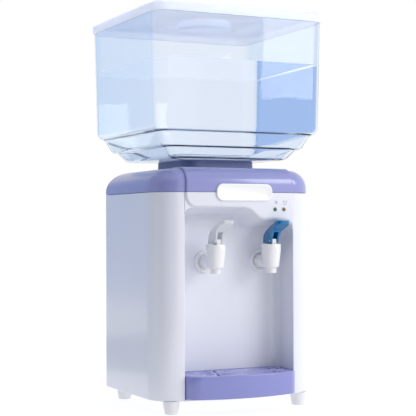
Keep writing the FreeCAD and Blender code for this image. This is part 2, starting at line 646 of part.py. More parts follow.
def make_lever(side):
    """The lever: two cheeks that straddle the lug, and a thumb paddle that curves up and forward."""
    middle = value(f"{side}_tap_x")
    pivot_y, pivot_z = value("lever_pivot_y"), value("lever_pivot_z")
    back, foot = value("tap_y") + 10, value("tap_top") + 0.3
    heel, shoulder = value("lever_heel"), value("lever_back_high")

    def at(north, up):
        return Vector(middle - 12, north, up)

    side_view = [
        Part.LineSegment(at(pivot_y, pivot_z - heel), at(back, foot + 0.2)).toShape(),
        Part.LineSegment(at(back, foot + 0.2), at(back, shoulder)).toShape(),
        Part.Arc(at(back, shoulder), at(-94, 227.3), at(-112, 233)).toShape(),
        Part.Arc(at(-112, 233), at(-118.4, 232.5), at(-117.4, 229.2)).toShape(),
        Part.Arc(at(-117.4, 229.2), at(-105, 224.6), at(-96, 218.5)).toShape(),
        Part.LineSegment(at(-96, 218.5), at(pivot_y - heel, pivot_z)).toShape(),
        Part.Arc(at(pivot_y - heel, pivot_z),
                 at(pivot_y - heel * math.sqrt(0.5), pivot_z - heel * math.sqrt(0.5)),
                 at(pivot_y, pivot_z - heel)).toShape(),
    ]
    form = prism(side_view, Vector(24, 0, 0))
    leg, thumb = value("lever_leg_half"), value("lever_thumb_half")
    waist, wide, tip = -90, value("lever_thumb_y"), value("lever_tip_y")

    def plan(east, north):
        return Vector(middle + east, north, 190)

    top_view = [
        Part.LineSegment(plan(-leg, back + 1), plan(leg, back + 1)).toShape(),
        Part.LineSegment(plan(leg, back + 1), plan(leg, waist)).toShape(),
        Part.Arc(plan(leg, waist), plan(leg + 1.9, waist - 7), plan(thumb, wide)).toShape(),
        Part.Arc(plan(thumb, wide), plan(0, tip), plan(-thumb, wide)).toShape(),
        Part.Arc(plan(-thumb, wide), plan(-leg - 1.9, waist - 7), plan(-leg, waist)).toShape(),
        Part.LineSegment(plan(-leg, waist), plan(-leg, back + 1)).toShape(),
    ]
    form = form.common(prism(top_view, Vector(0, 0, 60)))
    slot, web = value("lever_slot_half"), value("lever_web")
    gap = Part.makeBox(2 * slot, 40, value("lever_slot_top") - 190,
                       Vector(middle - slot, back - web - 40, 190))
    eye = Part.makeCylinder(value("pin_hole"), 30, Vector(middle - 15, pivot_y, pivot_z), Vector(1, 0, 0))
    feature(f"{side}_lever", form.cut(gap).cut(eye))


# ---- drip tray --------------------------------------------------------------------------------------------------

def tray_form(inset, low, high):
    """The tray's plan, straight behind and bowed in front, as a solid between two heights."""
    half, back = value("tray_half") - inset, value("tray_back") - inset
    front, bow = value("tray_front") + inset, value("tray_bow") - inset
    shoulder = front + bow - math.sqrt(bow ** 2 - half ** 2)

    def at(east, north):
        return Vector(east, north, low)

    edges = [Part.LineSegment(at(half, shoulder), at(half, back)).toShape(),
             Part.LineSegment(at(half, back), at(-half, back)).toShape(),
             Part.LineSegment(at(-half, back), at(-half, shoulder)).toShape(),
             Part.Arc(at(-half, shoulder), at(0, front), at(half, shoulder)).toShape()]
    solid = prism(edges, Vector(0, 0, high - low))
    corners = [edge for edge in solid.Edges if upright_at(half, shoulder)(edge) or upright_at(half, back)(edge)]
    return solid.makeFillet(value("tray_corner") - inset, corners)


def make_tray():
    """The lavender drip tray and the slotted grille that lies in its rim."""
    low, high, wall = value("tray_low"), value("tray_high"), value("tray_wall")
    seat = value("grille_top - grille_thick")
    shape = tray_form(0, low, high)
    rim = [edge for edge in shape.Edges if edge.BoundBox.ZMin > high - 0.01]
    shape = shape.makeFillet(value("tray_edge"), rim)
    shape = shape.cut(tray_form(value("ledge_inset"), low + wall, high))
    shape = shape.cut(tray_form(wall, low + wall, seat - 5))
    shape = shape.cut(tray_form(value("grille_inset") - 0.3, seat, high))
    feature("drip_tray", shape)

    grille = tray_form(value("grille_inset"), seat, value("grille_top"))
    near, far, half = value("slot_near"), value("slot_far"), value("slot_half")
    thick = value("grille_thick")
    for tap in ("left_tap_x", "right_tap_x"):
        centre = Vector(value(tap), value("tap_y"), seat)
        for i in range(10):
            slot = Part.makeBox(far - near, 2 * half, thick, Vector(near, -half, 0))
            for end in (near, far):
                slot = slot.fuse(Part.makeCylinder(half, thick, Vector(end, 0, 0)))
            slot.rotate(Vector(), Vector(0, 0, 1), 36 * i)
            slot.translate(centre)
            grille = grille.cut(slot)
        grille = grille.cut(Part.makeCylinder(3, thick, centre))
    feature("drip_grille", grille)


# ---- tank -------------------------------------------------------------------------------------------------------

def tank_form(inset, top):
    """The tank's stepped and tapered form, each level a pair of rounded plans joined by a loft."""
    half_x, half_y = value("tank_half_x") - inset, value("tank_half_y") - inset
    floor, step, base = value("tank_floor") + inset, value("tank_step") + inset, value("tank_base") + inset
    draft = value("tank_draft")
    levels = [(top, 0, floor + 8, draft), (floor + 8, draft, floor, 9), (floor, 11, step, 20),
              (step, 26, base, 36)]
    whole = None
    for high, high_in, low, low_in in levels:
        wires = []
        for height, shrink in ((high, high_in), (low, low_in)):
            corner = max(value("tank_corner") - inset - shrink / 4, 6)
            plan = rounded_plan(half_x - shrink, -half_y + shrink, half_y - shrink, (corner, corner), height)
            wires.append(plan)
        piece = Part.makeLoft(wires, True, True)
        whole = piece if whole is None else whole.fuse(piece)
    whole.translate(Vector(0, value("tank_y"), 0))
    return whole


def make_tank():
    """The clear tank with its neck, and the valve that the receiver's pin holds open."""
    top, wall, north = value("tank_top"), value("tank_wall"), value("tank_y")
    shape = tank_form(0, top).cut(tank_form(wall, top))
    low, outer, inner = value("neck_low"), value("neck_outer"), value("neck_inner")
    base = value("tank_base")
    neck = Part.makeCylinder(outer, base - low + wall, Vector(0, north, low))
    hub = Part.makeCylinder(value("hub_radius"), value("hub_high - hub_low"), Vector(0, north, value("hub_low")))
    spoke = Part.makeBox(2 * inner + 1, 4, value("hub_high - hub_low"),
                         Vector(-inner - 0.5, north - 2, value("hub_low")))
    shape = shape.fuse(neck).cut(Part.makeCylinder(inner, base - low + 3 * wall, Vector(0, north, low)))
    shape = shape.fuse([hub, spoke])
    shape = shape.cut(Part.makeCylinder(value("plunger_bore"), 20, Vector(0, north, value("hub_low") - 5)))
    feature("tank", shape)

    turned("valve_cap", [
        ("cap_hole", "cap_low"), ("cap_outer", "cap_low"), ("cap_outer", "cap_high"), ("neck_outer", "cap_high"),
        ("neck_outer", "cap_low + 2"), ("cap_hole", "cap_low + 2")], (), "0", "tank_y")
    turned("valve_plunger", [
        ("0", "cap_low + 0.3"), ("4", "cap_low + 0.3"), ("4", "plunger_disc_low"),
        ("plunger_disc", "plunger_disc_low"), ("plunger_disc", "plunger_disc_low + 3"),
        ("plunger_stem", "plunger_disc_low + 3"), ("plunger_stem", "plunger_top"), ("0", "plunger_top")],
        (), "0", "tank_y")
    coil = coil_spring(5.5, 0.8, value("plunger_disc_low") + 3.7, value("hub_low") - 0.7, 3.5)
    coil.translate(Vector(0, north, 0))
    feature("valve_spring", coil)


def make_lid():
    """The translucent lid: a thin skirt over the tank's rim and a round dished grip with a bar across it."""
    over, top, low = value("lid_over"), value("lid_top"), value("tank_top")
    skin, north = value("lid_skin"), value("tank_y")
    half_x, half_y = value("tank_half_x") + over, value("tank_half_y") + over
    corner = value("tank_corner") + over
    outer = Part.Face(rounded_plan(half_x, -half_y, half_y, (corner, corner), low)).extrude(Vector(0, 0, top - low))
    rim = [edge for edge in outer.Edges if edge.BoundBox.ZMin > top - 0.01]
    outer = outer.makeFillet(value("lid_edge"), rim)
    inner = Part.Face(rounded_plan(half_x - over - skin, -half_y + over + skin, half_y - over - skin,
                                   (corner - over - skin, corner - over - skin), low))
    shape = outer.cut(inner.extrude(Vector(0, 0, top - low - skin)))
    radius, dish = value("dish_radius"), value("dish_low")
    cup = Part.makeCylinder(radius + skin, top - dish, Vector(0, 0, dish))
    bowl = Part.makeCylinder(radius, top - dish, Vector(0, 0, dish + skin))
    bar = Part.makeBox(2 * radius + 2, 9, 7, Vector(-radius - 1, -4.5, top - 8.5))
    shape = shape.fuse(cup).cut(bowl).fuse(bar)
    shape.translate(Vector(0, north, 0))
    feature("tank_lid", shape)


def make_receiver():
    """The socket that the tank's neck stands in, with its pin, its two outlets and its seal."""
    body = turned("inlet_receiver", [
        ("0", "receiver_low"), ("receiver_outer", "receiver_low"), ("receiver_outer", "cover_top"),
        ("receiver_flange", "cover_top"), ("receiver_flange", "receiver_high"), ("0", "receiver_high")],
        [[("spike_radius", "receiver_floor"), ("receiver_bore", "receiver_floor"),
          ("receiver_bore", "receiver_high - 4"), ("21.5", "receiver_high - 4"), ("21.5", "receiver_high"),
          ("0", "receiver_high"), ("0", "cap_low"), ("spike_radius", "cap_low")]], "0", "tank_y")
    for side in ("-", ""):
        barb = new_sketch(body, "XY_Plane", "inlet_end")
        circle(barb, "0", f"{side} inlet_y", "barb_radius")
        pad(body, barb, "receiver_low - inlet_end")
        bore = new_sketch(body, "XY_Plane", "inlet_end")
        circle(bore, "0", f"{side} inlet_y", "port_radius")
        pocket(body, bore, "receiver_floor - inlet_end", backwards=True)
    turned("neck_seal", [("cap_outer + 0.08", "receiver_high - 4"), ("21.5", "receiver_high - 4"),
                         ("21.5", "receiver_high - 0.5"), ("cap_outer + 0.08", "receiver_high - 0.5")],
           (), "0", "tank_y")


# ---- cooling ----------------------------------------------------------------------------------------------------

def make_reservoir():
    """The cold reservoir with its side inlet and bottom outlet, and the two foam halves round it."""
    shell = rod("cold_x", "cold_y", "cold_low", "cold_radius", "cold_high - cold_low")
    hollow = rod("cold_x", "cold_y", "cold_low + cold_wall", "cold_radius - cold_wall",
                 "cold_high - cold_low - cold_wall - cold_wall")
    inflow = rod("inflow_end", "inflow_y", "inflow_z", "barb_radius", "cold_x - cold_radius - inflow_end + 2", "X")
    outflow = rod("cold_x", "cold_y", "outflow_end", "barb_radius", "cold_low - outflow_end")
    ways = [rod("inflow_end", "inflow_y", "inflow_z", "port_radius", "cold_x - inflow_end - 10", "X"),
            rod("cold_x", "cold_y", "outflow_end", "port_radius", "cold_low - outflow_end + 4")]
    keep("cold_reservoir", cut(cut(fuse(shell, inflow, outflow), hollow), *ways))
    block_front = "cold_y + cold_radius - 8"
    sides = ("cold_x - block_half", "cold_x + block_half")
    heights = ("cool_z - block_half", "cool_z + block_half")
    slab = block(*sides, block_front, "block_back", *heights)
    core = rod("cold_x", "cold_y", "cold_low", "cold_radius", "cold_high - cold_low")
    keep("cold_block", cut(slab, core))
    keep("cooling_module", block(*sides, "block_back", "module_back", *heights))
    for side in ("left", "right"):
        foam = rod("cold_x", "cold_y", "foam_low", "foam_radius", "foam_high - foam_low")
        away = ("cold_x", "cold_x + foam_radius") if side == "left" else ("cold_x - foam_radius", "cold_x")
        other = block(*away, "cold_y - foam_radius", "cold_y + foam_radius", "foam_low", "foam_high")
        core = rod("cold_x", "cold_y", "cold_low", "cold_radius", "cold_high - cold_low")
        window = block(*sides, block_front, "block_back", *heights)
        inlet = rod("inflow_end", "inflow_y", "inflow_z", "barb_radius", "cold_x - inflow_end", "X")
        outlet = rod("cold_x", "cold_y", "outflow_end", "barb_radius", "cold_low - outflow_end")
        keep(f"foam_{side}", cut(foam, other, core, window, inlet, outlet))


def make_heat_sink():
    """The finned heat sink on the warm side of the module."""
    body = new_body("heat_sink")
    base = new_sketch(body, "XZ_Plane", "- module_back")
    rectangle(base, "cold_x - sink_half", "cold_x + sink_half", "cool_z - sink_half", "cool_z + sink_half")
    pad(body, base, "sink_base_back - module_back", backwards=True)
    fins = new_sketch(body, "XZ_Plane", "- sink_base_back")
    for i in range(15):
        near = f"cold_x - sink_half + {6.17 * i:.2f}"
        rectangle(fins, near, f"{near} + 1.6", "cool_z - sink_half", "cool_z + sink_half")
    pad(body, fins, "sink_back - sink_base_back", backwards=True)


def make_fan():
    """The fan: a square frame with struts, a seven-bladed rotor and four screws into the heat sink."""
    frame = block("cold_x - fan_half", "cold_x + fan_half", "fan_front", "fan_back",
                  "cool_z - fan_half", "cool_z + fan_half")
    mouth = rod("cold_x", "fan_front", "cool_z", "fan_hole", "fan_back - fan_front", "Y")
    corners = [(f"cold_x {a} fan_bolt", f"cool_z {b} fan_bolt") for a in "+-" for b in "+-"]
    holes = [rod(east, "fan_front", height, "screw_radius", "fan_back - fan_front", "Y")
             for east, height in corners]
    hub = rod("cold_x", "fan_back - 2", "cool_z", "fan_hub", "2", "Y")
    struts = [block("cold_x - fan_hole - 0.5", "cold_x + fan_hole + 0.5", "fan_back - 2", "fan_back",
                    "cool_z - 1.5", "cool_z + 1.5"),
              block("cold_x - 1.5", "cold_x + 1.5", "fan_back - 2", "fan_back",
                    "cool_z - fan_hole - 0.5", "cool_z + fan_hole + 0.5")]
    keep("fan_frame", fuse(cut(frame, mouth, *holes), hub, *struts))

    axis = Vector(value("cold_x"), 0, value("cool_z"))
    front = value("fan_front") + 1
    hub_radius, reach = value("fan_hub"), value("fan_blade")
    rotor = Part.makeCylinder(hub_radius, 9, axis + Vector(0, front, 0), Vector(0, 1, 0))
    ring = Part.makeCylinder(reach, 9, axis + Vector(0, front, 0), Vector(0, 1, 0))
    for i in range(7):
        blade = Part.makeBox(15, 1.4, reach + 2, Vector(-7.5, -0.7, 0))
        blade.rotate(Vector(), Vector(0, 0, 1), 32)
        blade.translate(axis + Vector(0, front + 4.5, 0))
        blade.rotate(axis, Vector(0, 1, 0), 360 / 7 * i)
        rotor = rotor.fuse(blade.common(ring))
    feature("fan_rotor", rotor)
    group("fan_screws", [fuse(rod(east, "sink_back", height, "screw_radius", "fan_back - sink_back", "Y"),
                              rod(east, "fan_back", height, "screw_head", "2", "Y")) for east, height in corners])


def hose(label, route):
    """A tube along straight runs joined by arcs as large as the runs allow."""
    points = [Vector(*spot) for spot in route]
    edges, start = [], points[0]
    for before, corner, after in zip(points, points[1:], points[2:]):
        way_in, way_out = (corner - before).normalize(), (after - corner).normalize()
        half_turn = way_in.getAngle(way_out) / 2
        setback = 0.45 * min((corner - before).Length, (after - corner).Length)
        first, last = corner - way_in * setback, corner + way_out * setback
        inward = (way_out - way_in).normalize()
        radius = setback / math.tan(half_turn)
        middle = corner + inward * (radius / math.cos(half_turn) - radius)
        edges.append(Part.LineSegment(start, first).toShape())
        edges.append(Part.Arc(first, middle, last).toShape())
        start = last
    edges.append(Part.LineSegment(start, points[-1]).toShape())
    path = Part.Wire(edges)
    heading = points[1] - points[0]
    tubes = [path.makePipeShell([Part.Wire([Part.makeCircle(value(size), points[0], heading)])], True, True)
             for size in ("hose_outer", "hose_inner")]
    feature(label, tubes[0].cut(tubes[1]))


def make_hoses():
    """Ambient water goes from the receiver to the left tap, and cooled water through the reservoir to the right."""
    barb_y, barb_top = value("barb_y"), value("barb_end") + 12
    inlet_y = value("tank_y")
    reach = value("inlet_y")
    receiver_end = value("receiver_low")
    left, right = value("left_tap_x"), value("right_tap_x")
    cold_x, cold_y = value("cold_x"), value("cold_y")
    hose("ambient_hose", [(0, inlet_y - reach, receiver_end), (0, inlet_y - reach, 108),
                          (left, barb_y, 104), (left, barb_y, barb_top)])
    hose("cold_supply_hose", [(0, inlet_y + reach, receiver_end), (0, inlet_y + reach, value("inflow_z")),
                              (cold_x - value("foam_radius"), inlet_y + reach, value("inflow_z"))])
    hose("cold_outlet_hose", [(cold_x, cold_y, value("foam_low")), (cold_x, cold_y, 66),
                              (right, barb_y, 66), (right, barb_y, barb_top)])


# ---- electrics --------------------------------------------------------------------------------------------------

def make_electrics():
    """The power board on its standoffs, its transformer, the mains switch and the cord gland."""
    keep("power_board", block("board_x", "board_x + board_width", "board_y", "board_y + board_depth",
                              "board_z", "board_z + board_thick"))
    top = "board_z + board_thick"
    keep("transformer", block("board_x + 6", "board_x + 6 + transformer_side", "board_y + 8",
                              "board_y + 8 + transformer_side", top, f"{top} + 30"))
    tall = rod("board_x + 56", "board_y + 16", top, "8", "26")
    small = [rod(f"board_x + {50 + 12 * i}", "board_y + 38", top, "4.5", "14") for i in range(2)]
    group("capacitors", [tall] + small)
    spots = [(f"board_x + {a}", f"board_y + {b}") for a in (6, 68) for b in (4, 70)]
    group("board_standoffs", [rod(east, north, "housing_base + base_thickness", "standoff_radius",
                                  "board_z - housing_base - base_thickness") for east, north in spots])

    flange = block("switch_x - 12.5", "switch_x + 12.5", "housing_back + panel_thick",
                   "housing_back + panel_thick + 1.5", "switch_z - 9.5", "switch_z + 9.5")
    case = block("switch_x - 10.8", "switch_x + 10.8", "housing_back - 14", "housing_back + panel_thick",
                 "switch_z - 7.8", "switch_z + 7.8")
    well = block("switch_x - 8", "switch_x + 8", "housing_back - 8", "housing_back + panel_thick + 1.5",
                 "switch_z - 6.2", "switch_z + 6.2")
    keep("switch_frame", cut(fuse(flange, case), well))
    left, pivot = value("switch_x - 7.6"), Vector(0, value("rocker_y"), value("switch_z"))
    section = [(-4, -3), (3.2, -4.9), (1.6, 0), (3.2, 4.9), (-4, 3)]
    rocker = Part.Face(polygon([Vector(left, north, up) for north, up in section])).extrude(Vector(15.2, 0, 0))
    rocker = rocker.fuse(Part.makeCylinder(1.2, 15.9, Vector(left - 0.35, 0, 0), Vector(1, 0, 0)))
    rocker.translate(pivot)
    rocker.rotate(pivot, Vector(1, 0, 0), -7)
    feature("switch_rocker", rocker)

    barrel = rod("gland_x", "housing_back - 6", "gland_z", "6", "panel_thick + 6", "Y")
    collar = rod("gland_x", "housing_back + panel_thick", "gland_z", "8.5", "4", "Y")
    bore = rod("gland_x", "housing_back - 6", "gland_z", "gland_bore", "panel_thick + 10", "Y")
    keep("cord_gland", cut(fuse(barrel, collar), bore))


# ---- build and write --------------------------------------------------------------------------------------------

def check_document():
    """Stops on any feature or sub-part that did not build."""
    doc.recompute()
    for thing in doc.Objects:
        if "Invalid" in thing.State or "Error" in thing.State:
            raise RuntimeError(f"{thing.Label} did not build: {thing.State}")
    for label, thing in subparts.items():
        if thing.Shape.isNull() or not thing.Shape.isValid() or not thing.Shape.Solids:
            raise RuntimeError(f"{label} is not a valid solid")


def write_parts():
    os.makedirs("parts", exist_ok=True)
    for label, thing in subparts.items():
        thing.Shape.exportStep(f"parts/{label}.step")
    print(len(subparts), "sub-parts written")


fill_sheet()
make_housing()
make_fascia()
make_cover()
make_collar()
make_base()
make_feet()
make_rear()
make_badge()
for tap_side in ("left", "right"):
    make_tap(tap_side)
make_tray()
make_tank()
make_lid()
make_receiver()
make_reservoir()
make_heat_sink()
make_fan()
make_hoses()
make_electrics()
check_document()
write_parts()
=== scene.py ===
import math

import bmesh
import bpy
from mathutils import Matrix, Vector


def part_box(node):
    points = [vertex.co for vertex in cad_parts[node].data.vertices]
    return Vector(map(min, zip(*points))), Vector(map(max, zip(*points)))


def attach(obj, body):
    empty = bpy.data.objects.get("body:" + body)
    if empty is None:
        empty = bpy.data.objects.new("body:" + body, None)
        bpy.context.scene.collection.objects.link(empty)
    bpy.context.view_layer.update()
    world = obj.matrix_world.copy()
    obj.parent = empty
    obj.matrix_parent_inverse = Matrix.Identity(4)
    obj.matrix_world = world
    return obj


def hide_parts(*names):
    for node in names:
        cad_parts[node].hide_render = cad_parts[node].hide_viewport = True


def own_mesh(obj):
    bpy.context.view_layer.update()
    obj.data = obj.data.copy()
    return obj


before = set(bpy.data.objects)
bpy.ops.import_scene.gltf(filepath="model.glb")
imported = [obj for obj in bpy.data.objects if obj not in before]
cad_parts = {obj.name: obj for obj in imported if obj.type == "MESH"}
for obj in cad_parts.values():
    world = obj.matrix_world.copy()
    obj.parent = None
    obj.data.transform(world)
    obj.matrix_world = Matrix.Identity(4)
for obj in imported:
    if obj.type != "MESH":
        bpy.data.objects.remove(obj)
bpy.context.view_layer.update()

# ---- Camera and studio ----
# A long lens at worktop height, well to the left of the front. The room is white all round, with a soft light
# at the front right and a broad weak one above.

mm = 0.001
housing_low, housing_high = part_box("housing_shell")
housing_middle = (housing_low + housing_high) / 2

camera_data = bpy.data.cameras.new("camera")
camera_data.lens, camera_data.sensor_width = 103.56, 36
camera_data.clip_start, camera_data.clip_end = 0.05, 60
camera = bpy.data.objects.new("camera", camera_data)
bpy.context.scene.collection.objects.link(camera)
azimuth, elevation, roll = (math.radians(angle) for angle in (-25.996, -0.875, -0.219))
backwards = Vector((math.sin(azimuth) * math.cos(elevation), -math.cos(azimuth) * math.cos(elevation),
                    math.sin(elevation)))
level = Vector((math.cos(azimuth), math.sin(azimuth), 0))
upright = backwards.cross(level)
across = level * math.cos(roll) + upright * math.sin(roll)
above = upright * math.cos(roll) - level * math.sin(roll)
camera.matrix_world = Matrix((across, above, backwards)).transposed().to_4x4()
camera.location = (housing_middle.x - 0.6814, housing_middle.y - 1.3966, 0.2264)
bpy.context.scene.camera = camera
bpy.context.scene.view_settings.view_transform = "Standard"


def studio_light(name, place, size, power):
    """A soft box that faces the middle of the object."""
    data = bpy.data.lights.new(name, "AREA")
    data.shape, data.size, data.energy = "SQUARE", size, power
    light = bpy.data.objects.new(name, data)
    bpy.context.scene.collection.objects.link(light)
    light.location = place
    light.rotation_euler = (Vector(place) - Vector((0, 0, 0.25))).to_track_quat("Z", "Y").to_euler()


studio_light("key_light", (0.95, -1.15, 0.75), 0.6, 7)
studio_light("top_light", (0.2, -0.3, 2.4), 1.6, 5)

world = bpy.data.worlds.new("studio")
bpy.context.scene.world = world
world.use_nodes = True
world.node_tree.nodes["Background"].inputs["Color"].default_value = (1, 1, 1, 1)
world.node_tree.nodes["Background"].inputs["Strength"].default_value = 1.0


# ---- Moulded plastics: how every finish is written ----
# Shader maths is plain Python on Value objects, and a Finish is one material with its nodes.

class Value:
    """A number that comes out of a node, with the sums that the finishes use."""

    def __init__(self, finish, socket):
        self.finish, self.socket = finish, socket

    def sum_with(self, operation, first, second):
        return self.finish.add("ShaderNodeMath", {"operation": operation}, {0: first, 1: second})["Value"]

    def __add__(self, other):
        return self.sum_with("ADD", self, other)

    def __mul__(self, other):
        return self.sum_with("MULTIPLY", self, other)


class Finish:
    """One material: add() makes any node, and shade() fills the sockets of its surface shader."""

    def __init__(self, name):
        self.material = bpy.data.materials.new(name)
        self.material.use_nodes = True
        self.tree = self.material.node_tree
        self.surface = self.tree.nodes["Principled BSDF"]
        self.place = self.add("ShaderNodeTexCoord")["Object"]

    def plug(self, socket, source):
        if isinstance(source, Value):
            self.tree.links.new(source.socket, socket)
        elif isinstance(source, tuple) and len(source) == 3 and socket.type == "RGBA":
            socket.default_value = (*source, 1)
        else:
            socket.default_value = source

    def add(self, kind, settings=None, sources=None):
        node = self.tree.nodes.new(kind)
        for key, setting in (settings or {}).items():
            setattr(node, key, setting)
        for key, source in (sources or {}).items():
            self.plug(node.inputs[key], source)
        return {socket.name: Value(self, socket) for socket in node.outputs}

    def noise(self, size, detail=2.0, stretch=(1, 1, 1)):
        """Soft noise whose blotches are about that size in metres."""
        spot = self.add("ShaderNodeMapping", None, {"Vector": self.place, "Scale": stretch})["Vector"]
        grain = {"Vector": spot, "Scale": 1 / size, "Detail": detail}
        return self.add("ShaderNodeTexNoise", None, grain)["Fac"]

    def blend(self, amount, first, second):
        mix = self.tree.nodes.new("ShaderNodeMix")
        mix.data_type = "RGBA"
        for key, source in ((0, amount), (6, first), (7, second)):
            self.plug(mix.inputs[key], source)
        return Value(self, mix.outputs[2])

    def bump(self, height, depth):
        relief = {"Height": height, "Distance": depth, "Strength": 1.0}
        return self.add("ShaderNodeBump", None, relief)["Normal"]

    def shade(self, **sources):
        for key, source in sources.items():
            self.plug(self.surface.inputs[key.replace("_", " ")], source)
        return self.material


def moulded(name, colour, roughness=0.25, grain=0.0006, depth=0.000008, coat=0.0, metallic=0.0):
    """Moulded plastic, or metal: a fine skin from the tool, slow drifts in tone and slightly uneven gloss."""
    finish = Finish(name)
    drift = finish.noise(0.09, 3.0)
    skin = finish.noise(grain, 2.0)
    deep_tone = 0.94
    deeper = tuple(channel * deep_tone for channel in colour)
    return finish.shade(
        Base_Color=finish.blend(drift, deeper, colour),
        Roughness=drift * 0.08 + skin * 0.05 + (roughness - 0.065),
        Normal=finish.bump(skin, depth),
        Coat_Weight=coat, Coat_Roughness=0.08, Metallic=metallic)


# ---- Sweep and flags ----
# A matt white board that runs far past the frame on every side, and cloths on the left that shade that flank.
# The cloths show only in reflections and through the tank, so they never stand in front of the object.

def sheet_of(name, corners, material):
    mesh = bpy.data.meshes.new(name)
    mesh.from_pydata(corners, [], [(0, 1, 2, 3)])
    mesh.materials.append(material)
    card = bpy.data.objects.new(name, mesh)
    bpy.context.scene.collection.objects.link(card)
    return card


floor_reach = 14
floor_finish = Finish("matt_board")
floor_finish.shade(Base_Color=(0.2, 0.2, 0.2), Roughness=0.9, Specular_IOR_Level=0.0,
                   Emission_Color=(1, 1, 1), Emission_Strength=0.85)
sheet_of("floor", [(east * floor_reach, north * floor_reach, 0)
                   for east, north in ((-1, -1), (1, -1), (1, 1), (-1, 1))], floor_finish.material)
cloths = [("floor_flag", (0.22, 0.25, 0.34), [(-1.7, -0.9, 0.002), (-0.58, -0.9, 0.002), (-0.07, 0.9, 0.002),
                                              (-1.7, 0.9, 0.002)])]
nearly_black = (0.03, 0.035, 0.06)
for name, colour, (first_x, first_y), (last_x, last_y), tall in (
        ("near_flag", nearly_black, (-0.79, -1.5), (-0.62, -0.5), 0.8),
        ("corner_flag", nearly_black, (-0.62, -0.5), (-0.95, -0.2), 0.8),
        ("rear_flag", nearly_black, (-1.3, -1.7), (-0.3, -1.7), 1.3),
        ("side_flag", (0.62, 0.66, 0.78), (-1.0, -0.25), (-1.0, 1.0), 1.5),
        ("far_flag", (0.42, 0.57, 0.85), (-1.0, 1.0), (-1.0, 5.0), 2.5)):
    cloths.append((name, colour, [(first_x, first_y, 0), (last_x, last_y, 0), (last_x, last_y, tall),
                                  (first_x, first_y, tall)]))
for name, colour, corners in cloths:
    cloth = Finish(name)
    cloth.shade(Base_Color=(0.03, 0.03, 0.03), Roughness=0.9, Emission_Color=colour, Emission_Strength=1.0)
    sheet_of(name, corners, cloth.material).visible_camera = False


# ---- Housing shell ----
# One tall wrap-round moulding in glossy white ABS, 3 mm thick, open at the tap recess and at the rear panel.
# Its front corners are broad and its back corners tight, and the drawn edges have a small moulded radius.

white_abs = moulded("white_abs", (0.79, 0.81, 0.9), 0.2, coat=0.3)
arc_steps = 14


def plan_ring(half, front, back, front_round, back_round, height):
    """A rounded rectangle seen from above, as a ring of points that runs anticlockwise at one height."""
    ring = []
    corners = [(half - front_round, front + front_round, front_round, -90),
               (half - back_round, back - back_round, back_round, 0),
               (-half + back_round, back - back_round, back_round, 90),
               (-half + front_round, front + front_round, front_round, 180)]
    for east, north, radius, start in corners:
        for step in range(arc_steps + 1):
            turn = math.radians(start + 90 * step / arc_steps)
            ring.append(Vector((east + radius * math.cos(turn), north + radius * math.sin(turn), height)))
    return ring


def skin_of(name, points, faces, weld):
    """A new object from points and faces, its normals turned outward; weld joins the points that coincide."""
    mesh = bpy.data.meshes.new(name)
    mesh.from_pydata(points, [], faces)
    work = bmesh.new()
    work.from_mesh(mesh)
    if weld:
        bmesh.ops.remove_doubles(work, verts=work.verts, dist=1e-6)
    bmesh.ops.recalc_face_normals(work, faces=work.faces)
    work.to_mesh(mesh)
    work.free()
    piece = bpy.data.objects.new(name, mesh)
    bpy.context.scene.collection.objects.link(piece)
    return piece


def stack(name, rings, loop=False):
    """A closed skin through a stack of rings of equal point counts; loop joins the last ring to the first."""
    count = len(rings[0])
    faces = []
    spans = len(rings) if loop else len(rings) - 1
    for level in range(spans):
        low, high = level * count, (level + 1) % len(rings) * count
        for i in range(count):
            j = (i + 1) % count
            faces.append((low + i, low + j, high + j, high + i))
    if not loop:
        faces.append(tuple(reversed(range(count))))
        faces.append(tuple(range((len(rings) - 1) * count, len(rings) * count)))
    return skin_of(name, [point for ring in rings for point in ring], faces, True)


def settle(piece):
    """Turns a piece's modifiers into plain mesh."""
    bpy.context.view_layer.update()
    done = bpy.data.meshes.new_from_object(piece.evaluated_get(bpy.context.evaluated_depsgraph_get()))
    piece.modifiers.clear()
    piece.data = done
    return piece


def boolean(piece, other, operation="DIFFERENCE"):
    """Cuts another closed piece out of this one, or joins it on, and throws the other away."""
    change = piece.modifiers.new("boolean", "BOOLEAN")
    change.operation, change.object, change.solver = operation, other, "EXACT"
    settle(piece)
    bpy.data.objects.remove(other)
    return piece


def smooth(piece, crease):
    """Smooth shading, but for edges that turn by more than the crease angle."""
    piece.data.shade_smooth()
    piece.data.set_sharp_from_angle(angle=math.radians(crease))


def soften(piece, width, segments=3, angle=38):
    """Gives the sharp edges a moulded radius and smooth shading everywhere else."""
    change = piece.modifiers.new("edges", "BEVEL")
    change.width, change.segments, change.limit_method = width, segments, "ANGLE"
    change.angle_limit = math.radians(angle)
    change.use_clamp_overlap = True
    change.miter_outer = "MITER_ARC"
    settle(piece)
    smooth(piece, 50)
    tidy = piece.modifiers.new("normals", "WEIGHTED_NORMAL")
    tidy.keep_sharp = True
    return settle(piece)


def dress(piece, body, material, slot, *nodes):
    """Finishes a piece: its material, the body it rides on and the CAD nodes it stands for; the slot is not
    used.
    """
    piece.data.materials.clear()
    piece.data.materials.append(material)
    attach(piece, body)
    if nodes:
        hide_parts(*nodes)
    return piece


def box_ring(west, east, front, back, height):
    return [Vector((east, front, height)), Vector((east, back, height)), Vector((west, back, height)),
            Vector((west, front, height))]


def block(name, west, east, front, back, low, high):
    return stack(name, [box_ring(west, east, front, back, low), box_ring(west, east, front, back, high)])


wall = 3 * mm
front_round, back_round = 36 * mm, 8 * mm
recess_half = 75 * mm
half, base, split = housing_high.x, housing_low.z, housing_high.z
front, back = housing_low.y, housing_high.y


def shell_ring(inset, height):
    return plan_ring(half - inset, front + inset, back - inset, front_round - inset, back_round - inset,
                     height)


